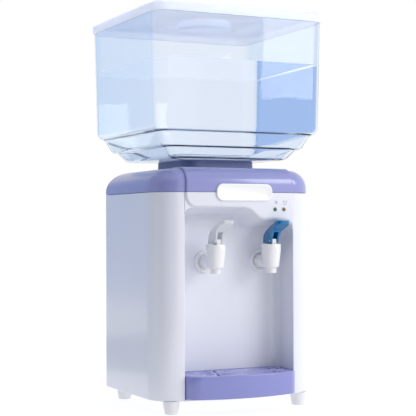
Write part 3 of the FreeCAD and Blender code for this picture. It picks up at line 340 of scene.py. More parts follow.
shell_rings = [shell_ring(inset * mm, height)
               for inset, height in ((1.2, base), (0.35, base + 0.4 * mm), (0, base + 1.3 * mm),
                                     (0, split - 0.6 * mm), (0.5, split))]
shell_rings += [shell_ring(wall, split), shell_ring(wall, base)]
housing = stack("housing", shell_rings, loop=True)
boolean(housing, block("mouth", -recess_half, recess_half, front - 0.02, front + 0.02, base - 0.01,
                       split + 0.01))
opening_low, opening_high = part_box("rear_panel")
inset = 10 * mm
boolean(housing, block("rear_opening", opening_low.x + inset, opening_high.x - inset,
                       back - 0.02, back + 0.02, opening_low.z + 14 * mm, opening_high.z - 14 * mm))
soften(housing, 1.1 * mm, angle=50)
dress(housing, "chassis", white_abs, "white_plastic", "housing_shell")


# ---- Front fascia ----
# The second white moulding: the liner of the tap recess, the S-shaped brow over it and the lower part of the
# raised control field. It slides into the housing's mouth and shows a hairline joint beside the field.

brow_high, brow_low = 249.8 * mm, 234.8 * mm
brow_start, brow_run = 2 * mm, 36 * mm
field_half, field_front = 74 * mm, -96 * mm
recess_back = front + 43 * mm
ceiling_drop = 13 * mm
cove, lip, edge_round = 12 * mm, 3 * mm, 2 * mm


def arc_of(middle, radius, start, end, steps, as_point):
    """Points along an arc given in degrees, placed by as_point(first, second)."""
    turns = [math.radians(start + (end - start) * step / steps) for step in range(steps + 1)]
    return [as_point(middle[0] + radius * math.cos(turn), middle[1] + radius * math.sin(turn))
            for turn in turns]


def quarter(radius, steps=6):
    """A rounded edge as pairs, how far along and how far in, from the face it leaves to the face it joins."""
    turns = [math.radians(90 * step / steps) for step in range(steps + 1)]
    return [(radius * (1 - math.cos(turn)), radius * (1 - math.sin(turn))) for turn in turns]


def recess_ring(grow, north, drop, foot=0.0):
    """The recess outline at one depth: straight sides, round corners and an S-shaped step between them."""
    edge = recess_half + grow
    high, low = brow_high + grow - drop, brow_low + grow - drop
    left_round = max(9 * mm + grow, mm)
    right_round = max(15 * mm + grow, mm)
    fall = high - low
    sweep = (brow_run ** 2 + fall ** 2) / (4 * fall)
    lean = math.degrees(math.asin(brow_run / 2 / sweep))

    def at(east, height):
        return Vector((east, north, height))

    return ([at(-edge, foot)]
            + arc_of((-edge + left_round, high - left_round), left_round, 180, 90, 10, at)
            + arc_of((brow_start, high - sweep), sweep, 90, 90 - lean, 10, at)
            + arc_of((brow_start + brow_run, low + sweep), sweep, 270 - lean, 270, 10, at)[1:]
            + arc_of((edge - right_round, low - right_round), right_round, 90, 0, 12, at)
            + [at(edge, foot)])


def recess_stack(name, grow, first, last, lipped):
    """The recess as a solid: its mouth flares over a rounded lip, and its back edges are coved."""
    rings = []
    depths = []
    if lipped:
        depths += [(-0.01, lip)] + quarter(lip, 9)
    else:
        depths.append((0.0, 0.0))
    length = last - first
    coves = [math.radians(9 * i) for i in range(11)]
    depths += [(length - cove + cove * math.sin(turn), -cove * (1 - math.cos(turn))) for turn in coves]
    for depth, flare in depths:
        drop = ceiling_drop * (first + depth - field_front) / (recess_back - field_front)
        rings.append(recess_ring(grow + flare, first + depth, drop))
    return stack(name, rings)


def field_ring(inset, north):
    """The outline of the raised field, open upwards past the joint with the cover."""
    edge, top, corner = field_half - inset, split + 10 * mm, 15 * mm
    low = brow_high + inset
    step_x, step_low = 4 * mm, 212 * mm

    def at(east, height):
        return Vector((east, north, height))

    return ([at(edge, step_low), at(edge, top), at(-edge, top)]
            + arc_of((-edge + corner, low + corner), corner, 180, 270, 12, at)
            + [at(step_x, low), at(step_x, step_low)])


def field_stack(name):
    rings = [field_ring(inset, field_front + along) for along, inset in quarter(edge_round)]
    return stack(name, rings + [field_ring(0, front + mm)])


fascia = recess_stack("fascia", wall, front + wall, recess_back + wall, False)
plate_foot = 205 * mm
boolean(fascia, block("front_plate", -recess_half + 0.2 * mm, recess_half - 0.2 * mm, front,
                      front + wall + 0.1 * mm, plate_foot, split - 0.25 * mm), "UNION")
boolean(fascia, field_stack("field"), "UNION")
boolean(fascia, recess_stack("recess", 0, field_front, recess_back, True))
boolean(fascia, block("above_joint", -0.1, 0.1, -0.2, 0.0, split - 0.25 * mm, split + 0.1))
boolean(fascia, block("below_base", -0.1, 0.1, -0.2, 0.0, -0.1, base + 2 * mm))
smooth(fascia, 40)
dress(fascia, "chassis", white_abs, "white_plastic", "front_fascia")


# ---- Top cover ----
# A lavender moulding that caps the housing. Its upper edges roll over, broadly at the sides and back, tighter
# in front, and the raised control field carries on up over its front edge.

lavender_abs = moulded("lavender_abs", (0.27, 0.29, 0.6), 0.22, coat=0.3)
cover_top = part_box("top_cover")[1].z - 2 * mm
side_roll, front_roll = 25 * mm, 18 * mm


def rolled(height, top, roll):
    """How far an edge of that roll radius has come in at a height."""
    rise = height - (top - roll)
    return roll - math.sqrt(max(roll ** 2 - rise ** 2, 0)) if rise > 0 else 0.0


def cover_stack(name, inset, low):
    top, side, fore = cover_top - inset, side_roll - inset, front_roll - inset
    heights = [low, low + 0.5 * mm] + [top - side + side * math.sin(math.radians(6 * i)) for i in range(16)]
    rings = []
    for i, height in enumerate(heights):
        flank, nose = rolled(height, top, side), rolled(height, top, fore)
        trim = 0.45 * mm if i == 0 and inset == 0 else 0.0
        flank, nose = flank + trim + inset, nose + trim + inset
        rings.append(plan_ring(half - flank, front + nose, back - flank,
                               max(front_round - (flank + nose) / 2, 8 * mm),
                               back_round - inset / 2 + flank / 4, height))
    return stack(name, rings)


def field_profile(lift, east):
    """The raised field seen from the side: up the front, over the rolled edge and back to the tank's seat."""
    fore, top, roll = field_front + lift, cover_top + 2 * mm - lift, front_roll + 2 * mm - lift / 2
    rear, low = -54 * mm, split + 0.25 * mm

    def at(north, height):
        return Vector((east, north, height))

    return ([at(rear, low), at(fore, low)] + arc_of((fore + roll, top - roll), roll, 180, 90, 14, at)
            + [at(rear, top)])


cover = cover_stack("cover", 0, split + 0.25 * mm)
sections = quarter(edge_round)
field_rings = [field_profile(3.4 * mm, -field_half)]
field_rings += [field_profile(lift, -field_half + along) for along, lift in sections]
field_rings += [field_profile(lift, field_half - along) for along, lift in reversed(sections)]
field_rings += [field_profile(3.4 * mm, field_half)]
boolean(cover, stack("field_over", field_rings), "UNION")
boolean(cover, cover_stack("cover_inside", wall, split - 5 * mm))
smooth(cover, 40)
dress(cover, "chassis", lavender_abs, "lavender_cover", "top_cover")


# ---- Tank seat ----
# A satin moulding on the cover; the tank's base stands on its rim and drips run back inside it. Its colour is
# # the cover's lavender painted darker and bluer: painted shade under the tank's base, with the tank's blue
# painted in.

# Painted shade: the cover's lavender darkened for the shadow under the tank, and tinted with the tank's blue.
seat_plastic = moulded("seat_plastic", (0.2, 0.25, 0.5), 0.42, grain=0.0004)
seat_low, seat_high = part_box("tank_collar")
seat_round, rim_width = 20 * mm, 14 * mm


def seat_ring(inset, height):
    return plan_ring(seat_high.x - inset, seat_low.y + inset, seat_high.y - inset, seat_round - inset / 2,
                     seat_round - inset / 2, height)


foot_flare = [(0, 0), (0.1, 0.6), (0.7, 1.8), (1.9, 3)]
seat = stack("tank_seat", [seat_ring(inward * mm, cover_top + rise * mm)
                           for inward, rise in foot_flare] + [
                           seat_ring(2.2 * mm, seat_high.z - 1.5 * mm),
                           seat_ring(2.6 * mm, seat_high.z - 0.4 * mm),
                           seat_ring(3.7 * mm, seat_high.z), seat_ring(rim_width, seat_high.z),
                           seat_ring(rim_width + mm, cover_top + 2 * mm),
                           seat_ring(18 * mm, cover_top + 2 * mm),
                           seat_ring(18 * mm, cover_top)], loop=True)
soften(seat, 0.5 * mm, 2)
dress(seat, "chassis", seat_plastic, "seat_plastic", "tank_collar")


# ---- Tank ----
# A clear polycarbonate vessel tinted ice blue, 2.4 mm thick. It tapers a little towards the base, which steps
# in twice, and a short neck under it carries the valve.

tank_low, tank_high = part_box("tank")
tank_middle = (tank_low + tank_high) / 2
tank_wall = 2.4 * mm
tank_corner = 19.6 * mm
neck_radius, neck_inner = 17 * mm, 14.5 * mm
tank_profile = [(484.2, 0), (482, 0.04), (420, 1.28), (352, 2.64), (349, 2.8), (346.3, 3.4), (343.9, 4.7),
                (342.1, 6.6), (341.2, 8.6), (341, 10.2), (340.4, 11.2), (339, 12), (326.6, 18.2),
                (324.4, 19.6), (323.3, 21.6), (323, 24.6), (322.5, 25.8), (321.2, 26.9), (313.6, 33.2),
                (311.6, 35.3), (310.5, 38.5)]


def tank_ring(height, shrink, inset):
    corner = max(tank_corner - inset - shrink * mm / 4, 6 * mm)
    reach_x, reach_y = (tank_high - tank_low).x / 2, (tank_high - tank_low).y / 2
    shift = inset + shrink * mm
    return plan_ring(reach_x - shift, tank_middle.y - reach_y + shift, tank_middle.y + reach_y - shift,
                     corner, corner, height)


def tank_inside(gap, brim):
    """Rings of the tank's inner skin from the brim down, held a gap off it."""
    rings = []
    for height, shrink in tank_profile:
        lifted = height * mm + (tank_wall + gap) * min(1, shrink / 9)
        if lifted < brim - 0.001:
            rings.append(tank_ring(lifted, shrink, tank_wall + gap))
    return rings


def round_ring(radius, height, north=None):
    middle = tank_middle.y if north is None else north
    return plan_ring(radius, middle - radius, middle + radius, radius, radius, height)


tank_rings = [tank_ring(height * mm, shrink, 0) for height, shrink in tank_profile]
tank_rings += [round_ring(neck_radius + 2 * mm, 310.5 * mm),
               round_ring(neck_radius + 0.5 * mm, 310 * mm),
               round_ring(neck_radius, 308.5 * mm), round_ring(neck_radius, tank_low.z),
               round_ring(neck_inner, tank_low.z), round_ring(neck_inner, 312.5 * mm),
               round_ring(neck_inner + mm, 312.9 * mm)]
tank_rings += list(reversed(tank_inside(0, tank_high.z)))
tank_rings.append(tank_ring(tank_high.z, 0, tank_wall))
tank = stack("tank_shell", tank_rings, loop=True)
smooth(tank, 60)

clear_blue = Finish("clear_blue_polycarbonate")
haze = clear_blue.noise(0.05, 3.0)
ripple = clear_blue.noise(0.035, 1.0, (1, 1, 0.4))
rim = clear_blue.add("ShaderNodeLayerWeight", None, {"Blend": 0.35})["Facing"]
clear_blue.shade(Base_Color=clear_blue.blend(rim, (0.9, 0.93, 0.98), (0.56, 0.73, 0.92)),
                 Roughness=haze * 0.03 + 0.015, IOR=1.25, Transmission_Weight=1.0,
                 Normal=clear_blue.bump(ripple, 0.0003))
dress(tank, "tank", clear_blue.material, "tank_clear", "tank")


# ---- Water ----
# The tank is about two thirds full. The water stops just short of the tank's skin.

water_level = 430.5 * mm
water_rings = [tank_ring(water_level, 1.1, tank_wall + 0.2 * mm),
               tank_ring(water_level - 0.6 * mm, 1.1, tank_wall + 0.1 * mm)]
water_rings += tank_inside(0.1 * mm, water_level - 2 * mm)
water = stack("water", water_rings)
smooth(water, 60)
water_finish = Finish("water")
water_finish.shade(Base_Color=(0.97, 0.98, 0.995), Roughness=0.0, IOR=1.12, Transmission_Weight=1.0)
dress(water, "tank", water_finish.material, "tank_clear")


# ---- Tank lid ----
# Milky translucent polypropylene: a skirt that stands on the tank's rim, a thin flat top, and a round dished
# # grip with a bar across it. A faint bluish-white emission paints a glow on it, standing in for light
# through the plastic.

lid_low, lid_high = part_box("tank_lid")
skirt_low = tank_high.z
lid_skin = 2.5 * mm
grip_radius = 33 * mm
over = lid_high.x - tank_high.x


def lid_ring(inset, height):
    corner = max(tank_corner + over - inset, 5 * mm)
    return plan_ring(lid_high.x - inset, lid_low.y + inset, lid_high.y - inset, corner, corner, height)


top_round = 2.4 * mm
lid_rings = [round_ring(10 * mm, lid_low.z + lid_skin),
             round_ring(grip_radius - 4 * mm, lid_low.z + lid_skin),
             round_ring(grip_radius - 1.2 * mm, lid_low.z + lid_skin + 1.2 * mm),
             round_ring(grip_radius, lid_low.z + lid_skin + 4 * mm),
             round_ring(grip_radius, lid_high.z - 1.4 * mm),
             round_ring(grip_radius + 0.5 * mm, lid_high.z - 0.5 * mm),
             round_ring(grip_radius + 1.6 * mm, lid_high.z)]
lid_rings += [lid_ring(inset, lid_high.z - along) for along, inset in quarter(top_round)]
lid_rings += [lid_ring(0.1 * mm, skirt_low + 0.5 * mm), lid_ring(0.5 * mm, skirt_low),
              lid_ring(over + lid_skin, skirt_low), lid_ring(over + lid_skin + 0.4 * mm,
                                                            lid_high.z - lid_skin - mm),
              lid_ring(over + lid_skin + 1.4 * mm, lid_high.z - lid_skin),
              round_ring(grip_radius + lid_skin + mm, lid_high.z - lid_skin),
              round_ring(grip_radius + lid_skin, lid_high.z - lid_skin - mm),
              round_ring(grip_radius + lid_skin, lid_low.z + 3 * mm),
              round_ring(grip_radius + lid_skin - mm, lid_low.z + mm),
              round_ring(grip_radius - mm, lid_low.z), round_ring(10 * mm, lid_low.z)]
lid = stack("lid", lid_rings)
boolean(lid, block("grip_bar", -grip_radius - mm, grip_radius + mm,
                   tank_middle.y - 4.5 * mm, tank_middle.y + 4.5 * mm,
                   lid_high.z - 8.5 * mm, lid_high.z - 1.5 * mm), "UNION")
smooth(lid, 50)
milky = Finish("milky_polypropylene_painted_glow")
cloud = milky.noise(0.03, 3.0)
# The weak emission is a painted glow, not a lamp: painted light through the milky plastic.
milky.shade(Base_Color=milky.blend(cloud, (0.88, 0.92, 1.0), (0.93, 0.95, 1.0)), Roughness=cloud * 0.08 + 0.3,
            IOR=1.2, Transmission_Weight=0.6, Emission_Color=(0.8, 0.85, 1.0), Emission_Strength=0.12,
            Normal=milky.bump(milky.noise(0.0007, 2.0), 0.00001))
dress(lid, "lid", milky.material, "lid_white", "tank_lid")


# ---- Badge and indicators ----
# An oval badge plate left blank, two small round lenses, and above them a snow star and a cup that mark the
# cooling and the supply, drawn as thin raised lines.

badge_white = moulded("badge_white", (0.9, 0.91, 0.93), 0.24, coat=0.4, grain=0.0009)
badge_low, badge_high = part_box("badge_plate")


def upright_ring(low, high, inset, corner, north, steps):
    """A rounded rectangle that stands upright, as a ring of points at one depth."""
    middle, reach = (low + high) / 2, (high - low) / 2
    wide, tall = reach.x - inset - corner, reach.z - inset - corner
    ring = []
    for east, up, start in ((1, 1, 0), (-1, 1, 90), (-1, -1, 180), (1, -1, 270)):
        for step in range(steps + 1):
            turn = math.radians(start + 90 * step / steps)
            ring.append(Vector((middle.x + east * wide + corner * math.cos(turn), north,
                                middle.z + up * tall + corner * math.sin(turn))))
    return ring


def badge_ring(inset, north):
    return upright_ring(badge_low, badge_high, inset, 9 * mm - inset * 0.6, north, 12)


badge_edge = 0.9 * mm
badge = stack("badge", [badge_ring(0, badge_high.y), badge_ring(0, badge_low.y + badge_edge),
                        badge_ring(0.12 * mm, badge_low.y + 0.45 * mm),
                        badge_ring(0.45 * mm, badge_low.y + 0.12 * mm),
                        badge_ring(badge_edge, badge_low.y), badge_ring(1.7 * mm, badge_low.y),
                        badge_ring(2.1 * mm, badge_low.y + 0.25 * mm)])
smooth(badge, 40)
dress(badge, "chassis", badge_white, "badge_white", "badge_plate")


def front_disc(radius, height, north, east):
    """A ring of points that faces the front."""
    turns = [math.radians(15 * step) for step in range(24)]
    return [Vector((east + radius * math.cos(turn), north, height + radius * math.sin(turn)))
            for turn in turns]


for node, colour, slot in (("green_lens", (0.02, 0.1, 0.07), "lens_green"),
                           ("amber_lens", (0.16, 0.1, 0.03), "lens_amber")):
    lens_low, lens_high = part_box(node)
    spot, radius = (lens_low + lens_high) / 2, (lens_high.x - lens_low.x) / 2
    face = lens_low.y
    rings = [front_disc(radius, spot.z, north, spot.x) for north in (lens_high.y, face + 0.5 * mm)]
    rings += [front_disc(radius * share, spot.z, face + depth * mm, spot.x)
              for share, depth in ((0.97, 0.3), (0.9, 0.12), (0.7, 0.03), (0.35, 0.0))]
    lens = stack(node, rings)
    smooth(lens, 60)
    lens_finish = Finish(node)
    paler = tuple(1.4 * channel for channel in colour)
    lens_finish.shade(Base_Color=lens_finish.blend(lens_finish.noise(0.002), colour, paler),
                      Roughness=0.15, Coat_Weight=0.5)
    dress(lens, "chassis", lens_finish.material, slot, node)

print_grey = moulded("print_grey", (0.2, 0.24, 0.28), 0.5)
line_width, line_height = 0.4 * mm, 0.12 * mm
box_faces = ((0, 1, 2, 3), (7, 6, 5, 4), (0, 4, 5, 1), (1, 5, 6, 2), (2, 6, 7, 3), (3, 7, 4, 0))
print_face = field_front + 0.02 * mm


def strokes(name, lines):
    """Thin flat strokes printed on the raised field, each given by its two ends as (x, z) in metres."""
    points, faces = [], []
    for first, last in lines:
        along = Vector((last[0] - first[0], 0, last[1] - first[1])).normalized()
        beside = Vector((along.z, 0, -along.x)) * line_width / 2
        start = len(points)
        for end in (Vector((first[0], print_face, first[1])), Vector((last[0], print_face, last[1]))):
            points += [end - beside, end + beside, end + beside - Vector((0, line_height, 0)),
                       end - beside - Vector((0, line_height, 0))]
        faces += [tuple(start + i for i in quad)
                  for quad in box_faces]
    return skin_of(name, points, faces, False)


star_x, cup_x, sign_z = 49.4 * mm, 62 * mm, 255.9 * mm
star = []
for i in range(3):
    reach = Vector((math.cos(math.radians(60 * i + 30)), math.sin(math.radians(60 * i + 30)))) * 2.6 * mm
    star.append(((star_x - reach.x, sign_z - reach.y), (star_x + reach.x, sign_z + reach.y)))
dress(strokes("snow_star", star), "chassis", print_grey, "dark_plastic")
rim_half, foot_half, cup_half = 2.2 * mm, 1.6 * mm, 2.4 * mm
dress(strokes("cup_sign", [((cup_x - rim_half, sign_z + cup_half), (cup_x - foot_half, sign_z - cup_half)),
                           ((cup_x - foot_half, sign_z - cup_half), (cup_x + foot_half, sign_z - cup_half)),
                           ((cup_x + foot_half, sign_z - cup_half), (cup_x + rim_half, sign_z + cup_half)),
                           ((cup_x - rim_half, sign_z + 0.8 * mm), (cup_x + rim_half, sign_z + 0.8 * mm))]),
      "chassis", print_grey, "dark_plastic")


# ---- Feet ----
# Four tapered feet in softer white, each hollow from below for the screw that holds it.

foot_plastic = moulded("foot_plastic", (0.8, 0.81, 0.85), 0.38)
steel = moulded("bright_steel", (0.62, 0.62, 0.63), 0.28, depth=0.000003, metallic=1.0)


def lathe(name, profile, east=0.0, north=0.0, steps=48):
    """A turned piece about an upright axis, from (radius, height) pairs; a closed profile makes a ring."""
    closed = profile[0][0] > 0 and profile[-1][0] > 0
    turns = [math.tau * i / steps for i in range(steps)]
    rings = [[Vector((east + max(radius, 1e-5) * math.cos(turn), north + max(radius, 1e-5) * math.sin(turn),
                      height)) for turn in turns] for radius, height in profile]
    piece = stack(name, rings, loop=closed)
    smooth(piece, 38)
    return piece


def in_mm(pairs):
    return [(radius * mm, height * mm) for radius, height in pairs]


for node in ("foot_front_left", "foot_front_right", "foot_back_left", "foot_back_right"):
    foot_low, foot_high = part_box(node)
    spot = (foot_low + foot_high) / 2
    foot = lathe(node, in_mm([(4.7, 7), (4.7, 0.5), (5.1, 0), (7.1, 0), (7.7, 0.2), (8.05, 0.8), (10.1, 13.6),
                                       (10.45, 15.6), (10.45, 16), (2.5, 16), (2.5, 7)]), spot.x, spot.y)
    dress(foot, "chassis", foot_plastic, "foot_white", node)


# ---- Taps ----
# Two white push-lever taps. Each has a turned body with a conical waist and a spout, a neck into the back
# wall with a dished ring round it, a bonnet with a lug, and a sprung stem that the lever lifts.

tap_white = moulded("tap_white", (0.86, 0.87, 0.9), 0.24, coat=0.3)
polished_pin = moulded("pin_steel", (0.66, 0.66, 0.67), 0.2, depth=0.000002, metallic=1.0)
tap_y, inlet_y, neck_z = -82 * mm, -33 * mm, 182.3 * mm
pivot_y, pivot_z = -88.6 * mm, 207.8 * mm
lug_half, lug_deep, lug_over = 2.9 * mm, 2.4 * mm, 2.6 * mm


def lie_back(piece, east, north, height):
    """Turns a piece lathed about the upright axis at the origin until it runs back along +Y from a point."""
    turned = Matrix.Rotation(math.radians(-90), 4, "X")
    piece.data.transform(Matrix.Translation(Vector((east, north, height))) @ turned)


def lie_across(piece, east):
    """Turns a piece lathed about the upright axis at the origin until it lies along a lever's pivot."""
    turned = Matrix.Rotation(math.radians(90), 4, "Y")
    piece.data.transform(Matrix.Translation(Vector((east, pivot_y, pivot_z))) @ turned)


def tap_middle(side):
    tap_low, tap_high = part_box(f"{side}_tap_bonnet")
    return (tap_low.x + tap_high.x) / 2


for side in ("left", "right"):
    tap_x = tap_middle(side)
    body = lathe(f"{side}_tap_body", in_mm([
        (3.5, 177.8), (3.5, 168), (4, 167.5), (5.9, 167.5), (6.5, 167.75), (6.85, 168.5), (6.85, 173.2),
        (7.2, 174.1), (8.2, 174.5), (9.2, 174.6), (9.75, 175.1), (10.1, 176.3), (12.35, 195), (12.5, 196.6),
        (12.5, 203.1), (12.2, 203.8), (11.5, 204), (11, 204), (11, 200), (7, 200), (7, 177.8)]),
        tap_x, tap_y, 64)
    neck = lathe("neck", in_mm([(0, 3), (8.25, 3), (8.25, 31.9), (6.5, 31.9), (6.5, 53.6), (6.1, 54),
                                (0, 54)]))
    lie_back(neck, tap_x, tap_y, neck_z)
    boolean(body, neck, "UNION")
    spigot = lathe("spigot", in_mm([(0, 158), (3.6, 158), (4, 159), (4, 179), (0, 179)]), tap_x,
                   inlet_y, 32)
    boolean(body, spigot, "UNION")
    boolean(body, lathe("chamber", in_mm([(0, 178), (7, 178), (7, 200.5), (0, 200.5)]), tap_x, tap_y, 64))
    bore = lathe("bore", in_mm([(0, 0), (2.6, 0), (2.6, 51.6), (0, 51.6)]), 0, 0, 32)
    lie_back(bore, tap_x, tap_y, neck_z)
    boolean(body, bore)
    boolean(body, lathe("drop", in_mm([(0, 157), (2.6, 157), (2.6, 182), (0, 182)]), tap_x, inlet_y, 32))
    smooth(body, 38)
    dress(body, "chassis", tap_white, "tap_white", f"{side}_tap_body")

    ring = lathe(f"{side}_tap_ring", in_mm([
        (8.3, 0), (8.3, -1), (8.9, -1.1), (11.9, -3.7), (12.4, -4), (13.1, -3.95), (13.8, -3.5),
        (14.1, -2.8), (14.2, -2), (14.2, 0)]), 0, 0, 72)
    lie_back(ring, tap_x, recess_back, neck_z)
    dress(ring, "chassis", tap_white, "tap_white", f"{side}_tap_ring")

    bonnet = lathe(f"{side}_tap_bonnet", in_mm([
        (2.6, 196), (7, 196), (7, 200), (11, 200), (11, 203.6), (10.6, 204), (2.6, 204)]), tap_x, tap_y, 48)
    lug = block("lug", tap_x - lug_half, tap_x + lug_half, pivot_y - lug_deep, pivot_y + lug_deep,
                203 * mm, pivot_z + lug_over)
    boolean(bonnet, lug, "UNION")
    boolean(bonnet, lathe("stem_way", in_mm([(0, 195), (2.6, 195), (2.6, 211), (0, 211)]), tap_x, tap_y, 32))
    soften(bonnet, 0.3 * mm, 2)
    dress(bonnet, "chassis", tap_white, "tap_white", f"{side}_tap_bonnet")

    stem = lathe(f"{side}_tap_stem", in_mm([
        (0, 178.05), (5, 178.05), (5.5, 178.5), (5.5, 180.6), (5.1, 181), (2.5, 181), (2.5, 209.6),
        (2.1, 210), (0, 210)]), tap_x, tap_y, 32)
    dress(stem, f"{side}_stem", tap_white, "tap_white", f"{side}_tap_stem")

    pin = lathe(f"{side}_lever_pin", in_mm([(0, -5.7), (1.2, -5.7), (1.4, -5.5), (1.4, 5.5), (1.2, 5.7),
                                                     (0, 5.7)]), 0, 0, 32)
    lie_across(pin, tap_x)
    dress(pin, "chassis", polished_pin, "steel", f"{side}_lever_pin")


# ---- Levers ----
# Each lever has two cheeks that straddle the bonnet's lug, and a thumb paddle that curves up and forward over
# the tap. The right one is tinted blue, the left one milky.

def spline(points, steps):
    """A smooth curve through points in a plane, as a finer list of points."""
    fine = []
    for i in range(len(points) - 1):
        before, first, last = points[max(i - 1, 0)], points[i], points[i + 1]
        after = points[min(i + 2, len(points) - 1)]
        for step in range(steps):
            t = step / steps
            fine.append(tuple(0.5 * (2 * b + (c - a) * t + (2 * a - 5 * b + 4 * c - d) * t * t
                                     + (3 * b - a - 3 * c + d) * t ** 3)
                              for a, b, c, d in zip(before, first, last, after)))
    return fine + [points[-1]]


def lever_form(name):
    """The lever as one solid: its side view swept across, its width following the plan."""
    upper = spline([(-72, 207), (-72, 210.6), (-72.4, 214.4), (-77.4, 219.2), (-85, 223.6), (-94, 227.3),
                    (-103, 230.4), (-112, 232.9), (-116.4, 233.2)], 4)
    lower = spline([(-72, 204.8), (-78.5, 204.6), (-86, 204.5), (-91, 206), (-92.6, 210.4), (-96, 218.5),
                    (-100, 221.8), (-109, 225.9), (-117, 229.4)], 4)
    outline = ((-1, 0.06), (-0.94, 0), (0.94, 0), (1, 0.06), (1, 0.94), (0.94, 1), (-0.94, 1), (-1, 0.94))
    rings = []
    for (top_y, top_z), (foot_y, foot_z) in zip(upper, lower):
        middle_y = (top_y + foot_y) / 2
        spread = 5.8 + 3.2 * min(max((-90 - middle_y) / 16, 0), 1) ** 0.8
        near_tip = min(max((-middle_y - 110.5) / 7.6, 0), 1)
        spread *= math.sqrt(max(1 - near_tip ** 2.4, 0.02))
        section = []
        for east, share in outline:
            section.append(Vector((east * spread, foot_y + (top_y - foot_y) * share,
                                   foot_z + (top_z - foot_z) * share)) * mm)
        rings.append(section)
    tip = [Vector((point.x * 0.3, (point.y + rings[-1][i - 4].y) / 2 - 1.3 * mm,
                   (point.z + rings[-1][i - 4].z) / 2)) for i, point in enumerate(rings[-1])]
    return stack(name, rings + [tip])


def clear_plastic(name, colour, milk, through):
    """Tinted clear plastic: the milk amount is a pale haze that catches the light."""
    finish = Finish(name)
    cloud = finish.noise(0.01, 2.0)
    finish.shade(Base_Color=finish.blend(cloud, colour, tuple(min(channel * 1.12, 1) for channel in colour)),
                 Roughness=cloud * 0.05 + milk, IOR=1.4, Transmission_Weight=through, Coat_Weight=0.4,
                 Coat_Roughness=0.05)
    return finish.material


lever_finishes = {"left": clear_plastic("milky_clear", (0.86, 0.88, 0.95), 0.2, 0.45),
                  "right": clear_plastic("blue_clear", (0.0, 0.17, 0.43), 0.12, 0.15)}
slot_half, slot_rear, slot_top = 3.2 * mm, -76 * mm, 219 * mm
for side in ("left", "right"):
    tap_x = tap_middle(side)
    lever = lever_form(f"{side}_lever")
    boolean(lever, block("slot", -slot_half, slot_half, -0.13, slot_rear, 0.19, slot_top))
    eye = lathe("eye", in_mm([(0, -12), (1.46, -12), (1.46, 12), (0, 12)]), 0, 0, 32)
    lie_across(eye, 0)
    boolean(lever, eye)
    soften(lever, 0.45 * mm, 3, 34)
    lever.data.transform(Matrix.Translation(Vector((tap_x, 0, 0))))
    dress(lever, f"{side}_lever", lever_finishes[side], "lever_blue" if side == "right" else "lever_clear",
          f"{side}_lever")


# ---- Drip tray ----
# A lavender tray with a bowed front, R20 corners all round, a thin rounded rim and a ledge for its grille.

tray_abs = moulded("lavender_tray_abs", (0.24, 0.26, 0.6), 0.2, coat=0.35)
tray_low, tray_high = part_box("drip_tray")
tray_bow, tray_round = 208 * mm, 20 * mm


def tray_ring(inset, height):
    """The tray's outline: straight behind, bowed in front, with four rounded corners."""
    half_width, back_line = tray_high.x - inset, tray_high.y - inset
    bow, corner = tray_bow - inset, tray_round - inset
    centre = tray_low.y + tray_bow
    joint = centre - math.sqrt((bow - corner) ** 2 - (half_width - corner) ** 2)
    lean = math.asin((half_width - corner) / (bow - corner))

    def at(east, north):
        return Vector((east, north, height))

    ring = arc_of((half_width - corner, back_line - corner), corner, 0, 90, 10, at)
    ring += arc_of((-half_width + corner, back_line - corner), corner, 90, 180, 10, at)
    ring += arc_of((-half_width + corner, joint), corner, 180, 270 - math.degrees(lean), 12, at)
    ring += arc_of((0, centre), bow, 270 - math.degrees(lean), 270 + math.degrees(lean), 36, at)[1:-1]
    ring += arc_of((half_width - corner, joint), corner, 270 + math.degrees(lean), 360, 12, at)
    return ring


seat_height = 43.5 * mm
tray_edge = 1.6 * mm
tray_rings = [tray_ring(1.2 * mm, tray_low.z), tray_ring(0.3 * mm, tray_low.z + 0.3 * mm),
              tray_ring(0, tray_low.z + 1.2 * mm)]
tray_rings += [tray_ring(inset, tray_high.z - down) for inset, down in quarter(tray_edge)]
tray_rings += [tray_ring(2.3 * mm, tray_high.z), tray_ring(2.65 * mm, tray_high.z - 0.35 * mm),
               tray_ring(2.7 * mm, seat_height), tray_ring(5.5 * mm, seat_height),
               tray_ring(5.5 * mm, seat_height - 5 * mm),
               tray_ring(2.4 * mm, seat_height - 5.6 * mm),
               tray_ring(2.4 * mm, tray_low.z + 4 * mm),
               tray_ring(4 * mm, tray_low.z + 2.4 * mm)]
tray = stack("drip_tray", tray_rings)
smooth(tray, 40)
dress(tray, "tray", tray_abs, "lavender_tray", "drip_tray")


# ---- Drip grille ----
# A plate that lies in the tray's rim. Under each tap it has a star of ten slots, placed by Geometry Nodes,
# round a drain hole.

grille_abs = moulded("lavender_grille_abs", (0.32, 0.335, 0.68), 0.26, coat=0.2)
grille_low, grille_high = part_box("drip_grille")
grille_edge = 0.6 * mm


def slot_cutter(name):
    """One slot: a long rounded prism that starts out along +X, flared at its top like a moulded edge."""
    half_width, near, far = 1.9 * mm, 9 * mm, 24 * mm

    def ring(grow, height):
        points = []
        for east, start in ((far, -90), (near, 90)):
            for step in range(9):
                turn = math.radians(start + 22.5 * step)
                points.append(Vector((east + (half_width + grow) * math.cos(turn),
                                      (half_width + grow) * math.sin(turn), height)))
        return points

    top = grille_high.z
    return stack(name, [ring(0, grille_low.z - mm), ring(0, top - grille_edge),
                        ring(0.18 * mm, top - 0.25 * mm), ring(grille_edge, top),
                        ring(grille_edge, top + mm)])


